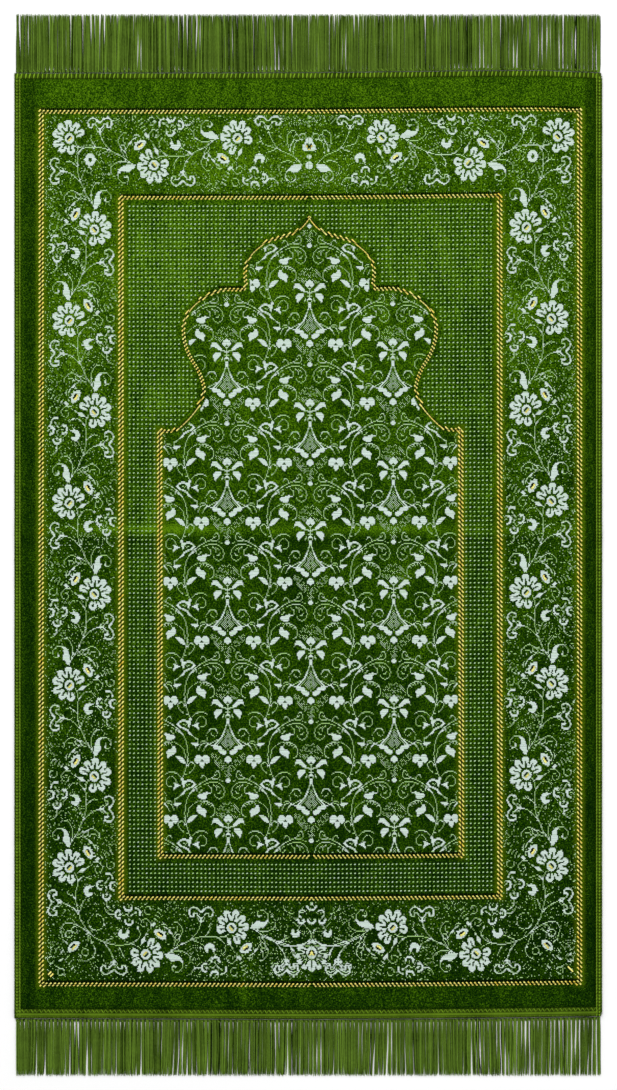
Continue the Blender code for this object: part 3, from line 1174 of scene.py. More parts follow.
class SetOut(Recipe):
    """Sets a copy of a small shape on every point, by the point's span, girth and turn."""

    def __post_init__(self) -> None:
        """Build the tree."""
        super().__post_init__()
        self.take("Shape", "Object")
        self.take("Width", "Float")
        self.take("Height", "Float")
        self.take("Finish", "Material")
        given = self.node("NodeGroupInput").outputs
        shape = self.node("ObjectInfo", {"transform_space": "ORIGINAL"}, Object=given["Shape"])
        girth = self.read("girth")
        wide = self.node("ShaderNodeMath", {"operation": "MULTIPLY"})
        high = self.node("ShaderNodeMath", {"operation": "MULTIPLY"})
        for made, size in ((wide, given["Width"]), (high, given["Height"])):
            self.tree.links.new(girth, made.inputs[0])
            self.tree.links.new(size, made.inputs[1])
        scale = self.node("ShaderNodeCombineXYZ", X=self.read("span"), Y=wide.outputs[0], Z=high.outputs[0])
        turn = self.node("ShaderNodeCombineXYZ", Z=self.read("turn"))
        copies = self.node(
            "InstanceOnPoints",
            Points=given["Geometry"],
            Instance=shape.outputs["Geometry"],
            Rotation=turn.outputs[0],
            Scale=scale.outputs[0],
        )
        real = self.node("RealizeInstances", Geometry=copies.outputs[0])
        done = self.node("SetMaterial", Geometry=real.outputs[0], Material=given["Finish"])
        self.node("NodeGroupOutput", Geometry=done.outputs[0])


class Spin(Recipe):
    """Spins round yarns along the edges of a wire mesh, as thick as its stored girth."""

    def __post_init__(self) -> None:
        """Build the tree."""
        super().__post_init__()
        self.take("Sides", "Int")
        self.take("Flatness", "Float")
        self.take("Finish", "Material")
        given = self.node("NodeGroupInput").outputs
        paths = self.node("MeshToCurve", Mesh=given["Geometry"])
        upright = self.node("SetCurveNormal", {"mode": "Z_UP"}, Curve=paths.outputs[0])
        ring = self.node("CurvePrimitiveCircle", Resolution=given["Sides"], Radius=1.0)
        flat = self.node("ShaderNodeCombineXYZ", X=given["Flatness"], Y=1.0, Z=1.0)
        oval = self.node("Transform", Geometry=ring.outputs[0], Scale=flat.outputs[0])
        tube = self.node("CurveToMesh", Curve=upright.outputs[0], Scale=self.read("girth"), Fill_Caps=True)
        self.tree.links.new(oval.outputs[0], tube.inputs["Profile Curve"])
        shaded = self.node("SetShadeSmooth", Geometry=tube.outputs[0])
        real = self.node("RealizeInstances", Geometry=shaded.outputs[0])
        done = self.node("SetMaterial", Geometry=real.outputs[0], Material=given["Finish"])
        self.node("NodeGroupOutput", Geometry=done.outputs[0])


@dataclass
class Wires:
    """Collects yarn paths before they are spun into one mesh."""

    points: list[np.ndarray] = field(default_factory=list)
    girths: list[np.ndarray] = field(default_factory=list)
    tints: list[np.ndarray] = field(default_factory=list)

    def add(self, path: np.ndarray, girth: float | np.ndarray, tint: float = 0.5) -> None:
        """Add one yarn.

        Args:
            path: Its points in mm.
            girth: Its radius in mm, or one for each point.
            tint: How pale it is, from 0 to 1.
        """
        path = np.asarray(path, float)
        self.points.append(path)
        self.girths.append(np.broadcast_to(girth, len(path)).astype(float))
        self.tints.append(np.full(len(path), tint))

    def spin(self, name: str, finish: Finish, sides: int = 5, flatness: float = 1.0) -> Piece:
        """Spin all the yarns into one piece.

        Args:
            name: The piece's name.
            finish: Its material.
            sides: The number of sides of a yarn's section.
            flatness: The section's height against its width.

        Returns:
            The piece.
        """
        points = np.concatenate(self.points) * MM
        starts = np.cumsum([0, *[len(p) for p in self.points]])
        edges = [(i, i + 1) for a, b in zip(starts, starts[1:]) for i in range(a, b - 1)]
        mesh = make_mesh(name, points, (), edges)
        tag(mesh, "girth", np.concatenate(self.girths) * MM)
        tag(mesh, "tint", np.concatenate(self.tints))
        spun = Spin(f"spin_{name}").run(
            add_object(name, mesh), Sides=sides, Flatness=flatness, Finish=finish
        )
        spun.name = name
        return add_object(name, spun)


def unit_tuft() -> Piece:
    """Make the shape of one cut row of pile, a unit long, wide and high with bevelled shoulders.

    Returns:
        The shape.
    """
    low, high = 0.5, 0.36
    ring = [(-1, -1), (1, -1), (1, 1), (-1, 1)]
    points = [(x * low, y * low, -0.4) for x, y in ring] + [
        (x * (0.5 - 0.04), y * high, 1.0) for x, y in ring
    ]
    faces = [(3, 2, 1, 0), (4, 5, 6, 7), *[(i, (i + 1) % 4, (i + 1) % 4 + 4, i + 4) for i in range(4)]]
    return add_object("tuft_shape", make_mesh("tuft_shape", np.array(points), faces))


def unit_float() -> Piece:
    """Make the shape of one gold float, a unit long, that dips into the cloth at both ends.

    Returns:
        The shape.
    """
    stations = ((-0.5, 0.85, -0.1), (-0.44, 1, 0.3), (0.44, 1, 0.3), (0.5, 0.85, -0.1))
    section = [(0.5 * cos(pi * i / 3), 0.62 * sin(pi * i / 3)) for i in range(6)]
    points = [(x, y * wide, z * wide + lift) for x, wide, lift in stations for y, z in section]
    rings = len(stations)
    faces = [
        (r * 6 + i, r * 6 + (i + 1) % 6, r * 6 + 6 + (i + 1) % 6, r * 6 + 6 + i)
        for r in range(rings - 1)
        for i in range(6)
    ]
    faces = [tuple(reversed(f)) for f in faces]
    faces += [tuple(range(6)), tuple(reversed(range(rings * 6 - 6, rings * 6)))]
    shape = make_mesh("float_shape", np.array(points), faces)
    shape.shade_smooth()
    return add_object("float_shape", shape)


# ---------------------------------------------------------------- finishes


class Paint:
    """A node material with its main shader."""

    def __init__(self, name: str, **constants: object) -> None:
        """Start a material.

        Args:
            name: Its name.
            constants: Values set on the shader's own sockets, with _ for a space.
        """
        self.material = bpy.data.materials.new(name)
        self.material.use_nodes = True
        self.tree = self.material.node_tree
        self.shader = self.tree.nodes["Principled BSDF"]
        for key, value in constants.items():
            self.shader.inputs[key.replace("_", " ")].default_value = value

    def node(self, kind: str, settings: dict[str, object] | None = None, **inputs: object) -> bpy.types.Node:
        """Add a node.

        Args:
            kind: Its type, without the leading ShaderNode.
            settings: Its own settings, made first.
            inputs: Values, expressions or sockets for its inputs, with _ for a space.

        Returns:
            The node.
        """
        made = self.tree.nodes.new(f"ShaderNode{kind}")
        for key, value in (settings or {}).items():
            setattr(made, key, value)
        for key, value in inputs.items():
            self.join(value, made.inputs[key.replace("_", " ")])
        return made

    def join(self, value: object, socket: Socket) -> None:
        """Link or set one socket.

        Args:
            value: A value or socket to link, or a constant to set.
            socket: The socket that takes it.
        """
        if isinstance(value, Value):
            value = value.socket
        if isinstance(value, Socket):
            self.tree.links.new(value, socket)
        else:
            socket.default_value = value

    def stored(self, name: str) -> Value:
        """Read a number stored on the mesh."""
        return Value(self, self.node("Attribute", {"attribute_name": name}).outputs["Fac"])

    def stored_parts(self, name: str) -> tuple[Value, Value]:
        """Read the first two numbers of a vector stored on the mesh."""
        vector = self.node("Attribute", {"attribute_name": name}).outputs["Vector"]
        parts = self.node("SeparateXYZ", Vector=vector).outputs
        return Value(self, parts["X"]), Value(self, parts["Y"])

    def place(self, scale: Sequence[float] = (1, 1, 1)) -> Socket:
        """Return object coordinates, scaled."""
        start = self.node("TexCoord").outputs["Object"]
        return self.node("Mapping", Vector=start, Scale=tuple(scale)).outputs["Vector"]

    def noise(self, scale: float, detail: float = 2.0, squash: Sequence[float] = (1, 1, 1)) -> Value:
        """Add noise of a scale per metre, centred on a half."""
        made = self.node("TexNoise", Vector=self.place(squash), Scale=scale, Detail=detail)
        return Value(self, made.outputs["Fac"])

    def ramp(self, factor: Value, stops: Sequence[tuple[float, tuple[float, float, float]]]) -> Socket:
        """Turn a number into a colour.

        Args:
            factor: The number.
            stops: The ramp's positions and linear colours.

        Returns:
            The colour socket.
        """
        made = self.node("ValToRGB", Fac=factor)
        while len(made.color_ramp.elements) < len(stops):
            made.color_ramp.elements.new(0.5)
        for element, (position, color) in zip(made.color_ramp.elements, stops):
            element.position = position
            element.color = (*color, 1)
        return made.outputs["Color"]

    def mix(self, factor: object, first: object, second: object, how: str = "MIX") -> Socket:
        """Mix two colours.

        Args:
            factor: How much of the second.
            first: A colour or its socket.
            second: A colour or its socket.
            how: The way of mixing.

        Returns:
            The colour socket.
        """
        made = self.node("Mix", {"data_type": "RGBA", "blend_type": how})
        self.join(factor, made.inputs["Factor"])
        for value, socket in ((first, made.inputs[6]), (second, made.inputs[7])):
            self.join((*value, 1) if isinstance(value, tuple) else value, socket)
        return made.outputs[2]

    def finish(self, color: object, bump: Value | None = None, depth: float = 0.0002) -> Finish:
        """Feed the shader.

        Args:
            color: The base colour's socket.
            bump: The height that the bump reads.
            depth: The bump's depth in metres.

        Returns:
            The material.
        """
        self.join(color, self.shader.inputs["Base Color"])
        if bump is not None:
            made = self.node("Bump", Height=bump, Distance=depth, Strength=1.0)
            self.join(made.outputs["Normal"], self.shader.inputs["Normal"])
        return self.material


@dataclass(frozen=True)
class Value:
    """A shader number whose operators add Math nodes."""

    paint: Paint
    socket: Socket

    def math(self, operation: str, *others: object, first: object = None) -> Value:
        """Add a Math node on this value and others.

        Args:
            operation: The node's operation.
            others: Its further inputs.
            first: Its first input, where that isn't this value.

        Returns:
            The result.
        """
        made = self.paint.node("Math", {"operation": operation})
        for value, socket in zip((self if first is None else first, *others), made.inputs):
            self.paint.join(value, socket)
        return Value(self.paint, made.outputs[0])

    def __add__(self, other: object) -> Value:
        """Add."""
        return self.math("ADD", other)

    __radd__ = __add__

    def __sub__(self, other: object) -> Value:
        """Subtract."""
        return self.math("SUBTRACT", other)

    def __rsub__(self, other: object) -> Value:
        """Subtract from."""
        return self.math("SUBTRACT", self, first=other)

    def __mul__(self, other: object) -> Value:
        """Multiply."""
        return self.math("MULTIPLY", other)

    __rmul__ = __mul__

    def __truediv__(self, other: object) -> Value:
        """Divide."""
        return self.math("DIVIDE", other)

    def __abs__(self) -> Value:
        """Drop the sign."""
        return self.math("ABSOLUTE")

    def sine(self) -> Value:
        """Take the sine."""
        return self.math("SINE")

    def least(self, other: object) -> Value:
        """Take the smaller."""
        return self.math("MINIMUM", other)

    def most(self, other: object) -> Value:
        """Take the larger."""
        return self.math("MAXIMUM", other)

    def fade(self, start: float, end: float) -> Value:
        """Fall smoothly from 1 to 0, or rise where the end is the lower.

        Args:
            start: Where it is 1.
            end: Where it is 0.

        Returns:
            The faded value.
        """
        low, high = min(start, end), max(start, end)
        ends = (1.0, 0.0) if start < end else (0.0, 1.0)
        made = self.paint.node(
            "MapRange",
            {"interpolation_type": "SMOOTHSTEP"},
            Value=self,
            From_Min=low,
            From_Max=high,
            To_Min=ends[0],
            To_Max=ends[1],
        )
        return Value(self.paint, made.outputs[0])


def shade(red: float, green: float, blue: float) -> tuple[float, float, float]:
    """Turn a colour as seen, from 0 to 255, into linear light."""
    seen = (c / 255 for c in (red, green, blue))
    return tuple(((c + 0.055) / 1.055) ** 2.4 if c > 0.04 else c / 12.92 for c in seen)


@dataclass(frozen=True)
class VelvetGround:
    """The green ground pile: its colour follows the stored painted nap sheen and shade, with a fine grain and
    a glow by the gold.
    """

    deep: tuple[float, float, float] = shade(4, 28, 0)
    middle: tuple[float, float, float] = shade(38, 74, 1)
    lit: tuple[float, float, float] = shade(92, 134, 12)
    glow: tuple[float, float, float] = shade(92, 116, 0)
    frames: Frames = field(default_factory=Frames)

    def make(self) -> Finish:
        """Build the material.

        Returns:
            The material.
        """
        paint = Paint("velvet_ground", Roughness=0.95, Sheen_Weight=0.0, Specular_IOR_Level=0.02)
        across, along = paint.stored_parts("loom")
        grain = paint.noise(900, 1.0) - 0.5
        streaks = paint.noise(60, 3.0, (1, 0.35, 1)) - 0.5
        ribs = (along * (2 * pi / 1.285)).sine() * (across * (2 * pi / 1.2)).sine()
        # The stored painted nap sheen and shade, plus grain, streaks and ribs, picks the green from deep to
        # lit.
        painted_nap_shade = paint.stored("painted_nap_shade") + grain * 2.6 + streaks * 0.6 + ribs * 0.08
        green = paint.ramp(painted_nap_shade, ((0.0, self.deep), (0.5, self.middle), (1.0, self.lit)))
        side = abs(across)
        near = None
        for half, foot, head in self.frames.uprights():
            reach = (head - foot) / 2
            beside = abs(side - half).fade(3.0, 9.0) * abs(along - (foot + head) / 2).fade(reach, reach + 8)
            near = beside if near is None else near.most(beside)
        color = paint.mix(near * 0.42, green, self.glow)
        # Painted shade: a dark band in the plain pile beyond the outer gold line.
        shade_beyond = abs(side - (self.frames.outer[0] + 13.0)).fade(4.0, 9.0)
        color = paint.mix(shade_beyond * 0.45, color, self.deep)
        return paint.finish(color, grain + ribs * 0.25, 0.0005)


@dataclass(frozen=True)
class IvoryPile:
    """The ivory figure pile; single cells let the green between them show and look greener."""

    full: tuple[float, float, float] = shade(214, 230, 222)
    thin: tuple[float, float, float] = shade(165, 210, 122)

    def make(self) -> Finish:
        """Build the material.

        Returns:
            The material.
        """
        paint = Paint("ivory_pile", Roughness=0.9, Specular_IOR_Level=0.1)
        grain = paint.noise(700, 1.0)
        color = paint.mix(paint.stored("tint"), self.thin, self.full)
        color = paint.mix((grain - 0.4) * 0.7, color, shade(170, 196, 168))
        return paint.finish(color, grain, 0.0003)


@dataclass(frozen=True)
class PlainYarn:
    """A yarn of one dye lot: dark to pale by the stored tint, with a twist along it."""

    name: str
    dark: tuple[float, float, float]
    pale: tuple[float, float, float]
    roughness: float = 0.8
    metallic: float = 0.0
    gloss: float = 0.05
    twist: float = 1500.0

    def make(self) -> Finish:
        """Build the material.

        Returns:
            The material.
        """
        paint = Paint(
            self.name, Roughness=self.roughness, Metallic=self.metallic, Specular_IOR_Level=self.gloss
        )
        fibres = paint.noise(self.twist, 2.0, (1, 0.5, 1))
        wide = paint.noise(45, 2.0) - 0.5
        tint = paint.stored("tint") + (fibres - 0.5) * 0.5 + wide * 0.35
        return paint.finish(paint.mix(tint.most(0.0).least(1.0), self.dark, self.pale), fibres, 0.0002)


@dataclass(frozen=True)
class BackWeave:
    """The flat back: a tight plain weave that shows the ground yarn with a ghost of the face."""

    dark: tuple[float, float, float] = shade(42, 66, 20)
    pale: tuple[float, float, float] = shade(84, 112, 52)

    def make(self) -> Finish:
        """Build the material.

        Returns:
            The material.
        """
        paint = Paint("back_weave", Roughness=0.9)
        across, along = paint.stored_parts("loom")
        knit = (along * (2 * pi / 2.57)).sine() * (across * (2 * pi / 2.4)).sine()
        wear = paint.noise(70, 3.0) - 0.5
        tone = knit * 0.3 + wear * 0.5 + paint.noise(900, 1.0) * 0.4 + 0.3
        return paint.finish(paint.mix(tone.most(0.0).least(1.0), self.dark, self.pale), knit, 0.0003)


# ---------------------------------------------------------------- the rug's pieces


@dataclass
class VelvetCloth:
    """The woven cloth itself: a thin sheet over the fold, with painted nap sheen and shade in soft patches.
    """

    lay: Lay
    half: float = 338.3
    head: float = 544.6
    foot: float = -546.2
    side_margin: float = 7.9
    head_margin: float = 6.9
    foot_margin: float = 11.5
    margin_top: float = 2.2
    underside: float = 0.25
    figured_half: float = 309.0
    figured_middle: float = -3.4
    figured_reach: float = 504.4
    #: : painted nap shade along the rug, lighter towards the head: place and level
    painted_shade_levels: tuple[Point, ...] = (
        (-540, 0.19),
        (-450, 0.24),
        (-300, 0.29),
        (-100, 0.37),
        (60, 0.44),
        (250, 0.47),
        (400, 0.49),
        (540, 0.48),
    )
    #: : patches of painted nap sheen and shade: x, y, half length, half width, turn in degrees, strength
    painted_shade_patches: tuple[tuple[float, float, float, float, float, float], ...] = (
        # the fold: a painted highlight just above its crest and painted shade just below it
        (0, 18, 330, 5.5, 0, 0.20),
        (-180, 19, 75, 5, 0, 0.28),
        (85, 19, 50, 5, 0, 0.24),
        (0, 5, 330, 4.5, 0, -0.16),
        (0, -6, 330, 9, 0, -0.08),
        # painted shade down the two long sides; after these, patches of painted nap sheen and shade
        (-323, 0, 560, 14, 90, -0.16),
        (325, 0, 560, 12, 90, -0.10),
        (-275, 255, 60, 26, 80, 0.17),
        (-170, 38, 22, 26, 0, 0.16),
        (250, 274, 24, 28, 0, 0.17),
        (-176, 322, 60, 44, 0, 0.15),
        (-45, 436, 120, 26, 0, 0.12),
        (-162, 165, 34, 26, 0, 0.14),
        (150, 330, 70, 30, 0, 0.07),
        (120, 250, 90, 24, 70, 0.06),
        (90, -163, 45, 26, 0, -0.14),
        (285, 85, 40, 22, 90, -0.12),
        (285, -125, 60, 24, 90, -0.12),
        (-285, -300, 90, 26, 90, -0.08),
        (0, -60, 60, 30, 0, -0.08),
        (285, -450, 45, 30, 0, -0.13),
        (0, -455, 160, 22, 0, -0.08),
        (-40, 130, 90, 26, 70, 0.07),
        (60, 60, 120, 22, 60, -0.06),
        (-95, -60, 110, 20, 75, -0.06),
        (120, -60, 90, 22, 105, 0.06),
        (-60, -230, 120, 24, 80, 0.06),
        (30, -300, 110, 22, 95, -0.07),
        (-230, -200, 110, 18, 90, -0.06),
        (0, 325, 60, 18, 90, -0.08),
        (0, 445, 220, 26, 0, 0.06),
    )

    def build(self, face: Finish, back: Finish) -> Piece:
        """Build the sheet.

        Args:
            face: The pile's material.
            back: The back's material.

        Returns:
            The closed sheet.
        """
        xs = self._stations(-self.half, self.half, self.side_margin, self.side_margin, 5.7)
        ys = self._stations(self.foot, self.head, self.foot_margin, self.head_margin, 5.4)
        ys = np.unique(np.concatenate([ys, np.arange(self.lay.fold_y - 16, self.lay.fold_y + 18, 2.3)]))
        x, y = np.meshgrid(xs, ys)
        share = (y - self.foot) / (self.head - self.foot)
        shift = self.lay.bow(x, np.where(share > 0.5, self.lay.top_edge, self.lay.bottom_edge))
        y = y + shift * np.clip(abs(2 * share - 1) * 3 - 2, 0, 1)
        depth = np.minimum.reduce([
            (self.half - abs(x)) - self.side_margin,
            (self.head - ys[:, None]) - self.head_margin + 0 * x,
            (ys[:, None] - self.foot) - self.foot_margin + 0 * x,
        ])
        pile = self.lay.top(x, y)
        shoulder = np.clip(depth / 1.6, 0, 1) ** 0.5
        margin = self.margin_top + self.lay.rise(x, y) * 0.5
        top = margin + (pile - margin) * shoulder
        bottom = self.underside + self.lay.rise(x, y) * 0.92 - 0.2
        bottom = np.where(depth < 0, np.maximum(bottom, 1.15), bottom)
        top = np.where(depth < 0, np.minimum(top, 2.35), top)
        rows, columns = x.shape
        points = np.concatenate([np.stack([x, y, z], -1).reshape(-1, 3) for z in (top, bottom)]) * MM
        ids = np.arange(rows * columns).reshape(rows, columns)
        a, b, c, d = ids[:-1, :-1], ids[:-1, 1:], ids[1:, 1:], ids[1:, :-1]
        upper = np.stack([a, b, c, d], -1).reshape(-1, 4)
        lower = np.stack([d, c, b, a], -1).reshape(-1, 4) + rows * columns
        rim = np.concatenate([ids[0, :-1], ids[:-1, -1], ids[-1, :0:-1], ids[:0:-1, 0]])
        after = np.roll(rim, -1)
        wall = np.stack([rim + rows * columns, after + rows * columns, after, rim], -1)
        mesh = make_mesh("pile_cloth", points, np.concatenate([upper, lower, wall]).tolist())
        mesh.shade_smooth()
        mesh.materials.append(face)
        mesh.materials.append(back)
        mesh.polygons.foreach_set("material_index", [0] * len(upper) + [1] * (len(lower) + len(wall)))
        loom = np.stack([x - self.lay.shift(x, y), y - self.lay.bow(x, y), 0 * x], -1).reshape(-1, 3)
        tag(mesh, "loom", np.concatenate([loom, loom]))
        # Painted nap sheen and shade, stored for the pile's colour.
        painted_nap_shade = self.painted_nap_shade(x, y).ravel()
        tag(mesh, "painted_nap_shade", np.concatenate([painted_nap_shade, painted_nap_shade]))
        return add_object("pile_cloth", mesh)

    def _stations(self, low: float, high: float, first: float, last: float, step: float) -> np.ndarray:
        """Space the grid lines, close together where the pile meets its margins.

        Args:
            low: The first line.
            high: The last line.
            first: The margin at the first line.
            last: The margin at the last line.
            step: The spacing between margins.

        Returns:
            The lines' places.
        """
        start, stop = low + first, high - last
        inner = np.linspace(start + 2.6, stop - 2.6, int((stop - start) / step))
        return np.concatenate(
            [[low, start - 0.1, start + 0.4, start + 1.2], inner, [stop - 1.2, stop - 0.4, stop + 0.1, high]]
        )

    def painted_nap_shade(self, x: np.ndarray, y: np.ndarray) -> np.ndarray:
        """Work out the painted nap sheen and shade: levels along the rug, patches and streaks, and darker
        over the figured part.

        Args:
            x: Places across the rug.
            y: Places along the rug.

        Returns:
            The painted nap shade, from 0 to 1.
        """
        table = np.array(self.painted_shade_levels)
        painted_nap_shade = np.interp(y, table[:, 0], table[:, 1])
        for px, py, length, width, turn, strength in self.painted_shade_patches:
            c, s = cos(radians(turn)), sin(radians(turn))
            along = ((x - px) * c + (y - py) * s) / length
            across = (-(x - px) * s + (y - py) * c) / width
            painted_nap_shade = painted_nap_shade + strength * np.exp(-(np.clip(abs(along) - 0.5, 0, None) * 2) ** 2 - across**2)
        figured = (abs(x) < self.figured_half) & (abs(y - self.figured_middle) < self.figured_reach)
        painted_nap_shade = painted_nap_shade - figured * np.interp(y, (100, 330), (0.10, 0.02))
        random = np.random.default_rng(11)
        for _ in range(150):
            px, py = random.uniform(-330, 330), random.uniform(-540, 540)
            turn = radians(random.choice((90, 90, 78, 102, 60, 20)) + random.uniform(-8, 8))
            length, width = random.uniform(25, 70), random.uniform(5, 13)
            along = ((x - px) * cos(turn) + (y - py) * sin(turn)) / length
            across = (-(x - px) * sin(turn) + (y - py) * cos(turn)) / width
            painted_nap_shade = painted_nap_shade + random.uniform(-0.10, 0.10) * np.exp(-(along**2) - across**2)
        return painted_nap_shade


@dataclass
class FigurePile:
    """The figured pile: each run of filled cells in a pick becomes one low cut row of tufts."""

    lay: Lay
    weave: Weave
    height: float = 0.55

    def build(
        self, name: str, cells: np.ndarray, shape: Piece, finish: Finish, swell: float = 0.0
    ) -> Piece:
        """Build one part of the figure.

        Args:
            name: The piece's name.
            cells: Its filled cells.
            shape: The shape of a row of pile.
            finish: Its material.
            swell: How many mm wider its tufts spread, which also makes them slant and stand out.

        Returns:
            The piece.
        """
        edges = np.diff(np.pad(cells.astype(np.int8), ((0, 0), (1, 1))), axis=1)
        rows, starts = np.where(edges == 1)
        stops = np.where(edges == -1)[1]
        count = stops - starts
        u = ((starts + stops - 1) / 2 - self.weave.ends) * Chart.END
        v = (rows - self.weave.picks) * Chart.PICK
        padded = np.pad(cells.astype(float), 1)
        height, width = cells.shape
        around = sum(padded[i : i + height, j : j + width] for i in range(3) for j in range(3)) / 9
        total = np.cumsum(np.pad(around, ((0, 0), (1, 0))), axis=1)
        cover = (total[rows, stops] - total[rows, starts]) / count
        random = np.random.default_rng(len(rows))
        full = np.clip((cover - 0.34) / 0.34 + swell, 0, 1)
        tint = np.clip(full * (1 - 0.8 * swell) + 0.12 + random.normal(0, 0.18, len(rows)), 0, 1)
        u = u + random.normal(0, 0.05, len(rows))
        v = v + random.normal(0, 0.05, len(rows))
        x, y = self.lay.place(u, v)
        mesh = make_mesh(name, np.stack([x, y, self.lay.top(x, y)], -1) * MM, ())
        tag(mesh, "span", (count * Chart.END - 0.16 - 0.14 * (1 - full) + swell) * MM)
        tag(mesh, "girth", 0.95 - 0.15 * (1 - full) + 0.22 * swell)
        tag(mesh, "turn", np.full(len(rows), 0.5 * swell))
        tag(mesh, "tint", tint)
        made = SetOut(f"set_{name}").run(
            add_object(name, mesh), Shape=shape, Width=Chart.PICK * MM, Height=self.height * MM, Finish=finish
        )
        return add_object(name, made)


@dataclass
class GoldLines:
    """The gold lines: slanted gold floats over a dark bed, along the two oblongs and the niche."""

    lay: Lay
    frames: Frames
    period: float = 5.14
    slope: float = 1.285 / 1.2
    half_upright: float = 2.95
    half_level: float = 1.95
    width: float = 1.7
    height: float = 0.45

    def floats(self, shape: Piece, finish: Finish) -> Piece:
        """Set the floats along the loom's diagonals, cut off at the line's two sides.

        Args:
            shape: The shape of one float.
            finish: The gold yarn.

        Returns:
            The piece.
        """
        found = []
        for outline in self.frames.outlines():
            path = trace(outline, 0.8)
            flows, heading = self._flows(path)
            for side in (-1, 1):
                found += self._cut(path[~flows], side)
            inward = np.stack([-np.sin(heading), np.cos(heading)], -1) * 0.8
            for i in np.where(flows)[0][::4]:
                found.append((*(path[i] + inward[i]), 3.5, heading[i], 0.95))
        for side, u, v in ((-1, 301.2, -494.9), (-1, 298.8, -497.2), (1, 299.2, -490.8), (1, 301.6, -493.2)):
            found.append((side * u, v, 5.2, -side * np.arctan(self.slope), 1.0))
        table = np.array(found)
        u, v, length, turn, girth = table.T
        x, y = self.lay.place(u, v)
        mesh = make_mesh("gold_lines", np.stack([x, y, self.lay.top(x, y) + 0.25], -1) * MM, ())
        random = np.random.default_rng(4)
        tag(mesh, "span", length * MM)
        tag(mesh, "girth", girth)
        tag(mesh, "turn", turn)
        tag(mesh, "tint", np.clip(random.normal(0.55, 0.2, len(u)), 0, 1))
        made = SetOut("set_gold_lines").run(
            add_object("gold_lines", mesh),
            Shape=shape,
            Width=self.width * MM,
            Height=self.height * MM,
            Finish=finish,
        )
        return add_object("gold_lines", made)

    def _flows(self, path: np.ndarray) -> tuple[np.ndarray, np.ndarray]:
        """Tell where a line runs along the loom's diagonal, so that its floats lie end to end.

        Args:
            path: The traced line.

        Returns:
            A mask of its samples, and their headings.
        """
        ahead = np.roll(path, -3, axis=0) - np.roll(path, 3, axis=0)
        heading = np.arctan2(ahead[:, 1], ahead[:, 0])
        diagonal = -np.sign(path[:, 0]) * np.arctan(self.slope)
        corner = abs(path[:, 1]) > 395
        return (abs(np.sin(heading - diagonal)) < 0.2) & ~corner, heading

    def _cut(self, path: np.ndarray, side: int) -> list[tuple[float, float, float, float, float]]:
        """Find where one half's diagonals cross a traced line.

        Args:
            path: The traced line.
            side: -1 for the left half and 1 for the right one.

        Returns:
            For each float its place, length, turn and girth.
        """
        run = -side * self.slope
        step = 0.35
        us = np.arange(0.0, 322.0, step) * side
        rises = np.arange(-900.0, 900.0, self.period)
        u, rise = np.meshgrid(us, rises)
        v = u * run + rise
        ok = (v > -516) & (v < 512)
        gap = np.full(u.shape, np.inf)
        gap[ok] = distance(path, u[ok], v[ok], 4)
        hit = gap < self._half_here(u, v)
        found = []
        edges = np.diff(np.pad(hit.astype(np.int8), ((0, 0), (1, 1))), axis=1)
        rows, starts = np.where(edges == 1)
        stops = np.where(edges == -1)[1] - 1
        turn = np.arctan(run)
        for row, a, b in zip(rows, starts, stops):
            reach = (b - a) * step / cos(turn)
            if reach < 1.6:
                continue
            parts = max(1, round(reach / 26))
            for i in range(parts):
                share = (i + 0.5) / parts
                place = a + (b - a) * share
                across = side * step * place
                found.append((us[0] + across, v[row, 0] + across * run, reach / parts + 0.5, turn, 1.0))
        return found

    def _half_here(self, u: np.ndarray, v: np.ndarray) -> np.ndarray:
        """Work out half the line's width: upright runs are wider than level ones.

        Args:
            u: Places across the rug.
            v: Places along the rug.

        Returns:
            Half the width at each place.
        """
        upright = np.zeros(u.shape, bool)
        for half, foot, head in self.frames.uprights():
            upright |= (abs(abs(u) - half) < 4) & (v > foot - 3) & (v < head + 3)
        return np.where(upright, self.half_upright, self.half_level)

    def beds(self, finish: Finish) -> Piece:
        """Lay the dark bed under the floats as a low rounded ribbon.

        Args:
            finish: The dark yarn.

        Returns:
            The piece.
        """
        wires = Wires()
        for outline in self.frames.outlines():
            path = trace(outline, 3.0)
            girth = np.where(self._flows(path)[0], 2.5, self._half_here(path[:, 0], path[:, 1]) + 0.25)
            path = np.concatenate([path, path[:1]])
            x, y = self.lay.place(path[:, 0], path[:, 1])
            wires.add(np.stack([x, y, self.lay.top(x, y) + 0.05], -1), [*girth, girth[0]], 0.5)
        return wires.spin("line_beds", finish, 6, 0.15)

    def shadow_pickets(self, shape: Piece, finish: Finish) -> Piece:
        """Set the dark pickets along the top side of every level line, a row of painted shadow there.

        Args:
            shape: The shape of a row of pile.
            finish: The dark yarn.

        Returns:
            The piece.
        """
        foot, head = self.frames.niche_foot, self.frames.shoulder[-1][1]
        rows = [(-self.frames.outer[0], self.frames.outer[0], v) for v in self.frames.outer[1:]]
        rows += [(-self.frames.inner[0], self.frames.inner[0], v) for v in self.frames.inner[1:]]
        rows.append((-self.frames.niche_half, self.frames.niche_half, foot))
        rows += [(76, 104, head), (-104, -76, head)]
        found = [
            (u, v + self.half_level + 1.3)
            for low, high, v in rows
            for u in np.arange(low, high + 0.1, 2.4)
        ]
        u, v = np.array(found).T
        x, y = self.lay.place(u, v)
        mesh = make_mesh("line_pickets", np.stack([x, y, self.lay.top(x, y) + 0.1], -1) * MM, ())
        for name, value in (("span", 1.7 * MM), ("girth", 1.0), ("turn", 0.0), ("tint", 0.4)):
            tag(mesh, name, np.full(len(u), value))
        made = SetOut("set_line_shadow").run(
            add_object("line_pickets", mesh), Shape=shape, Width=2.9 * MM, Height=0.5 * MM, Finish=finish
        )
        return add_object("line_pickets", made)


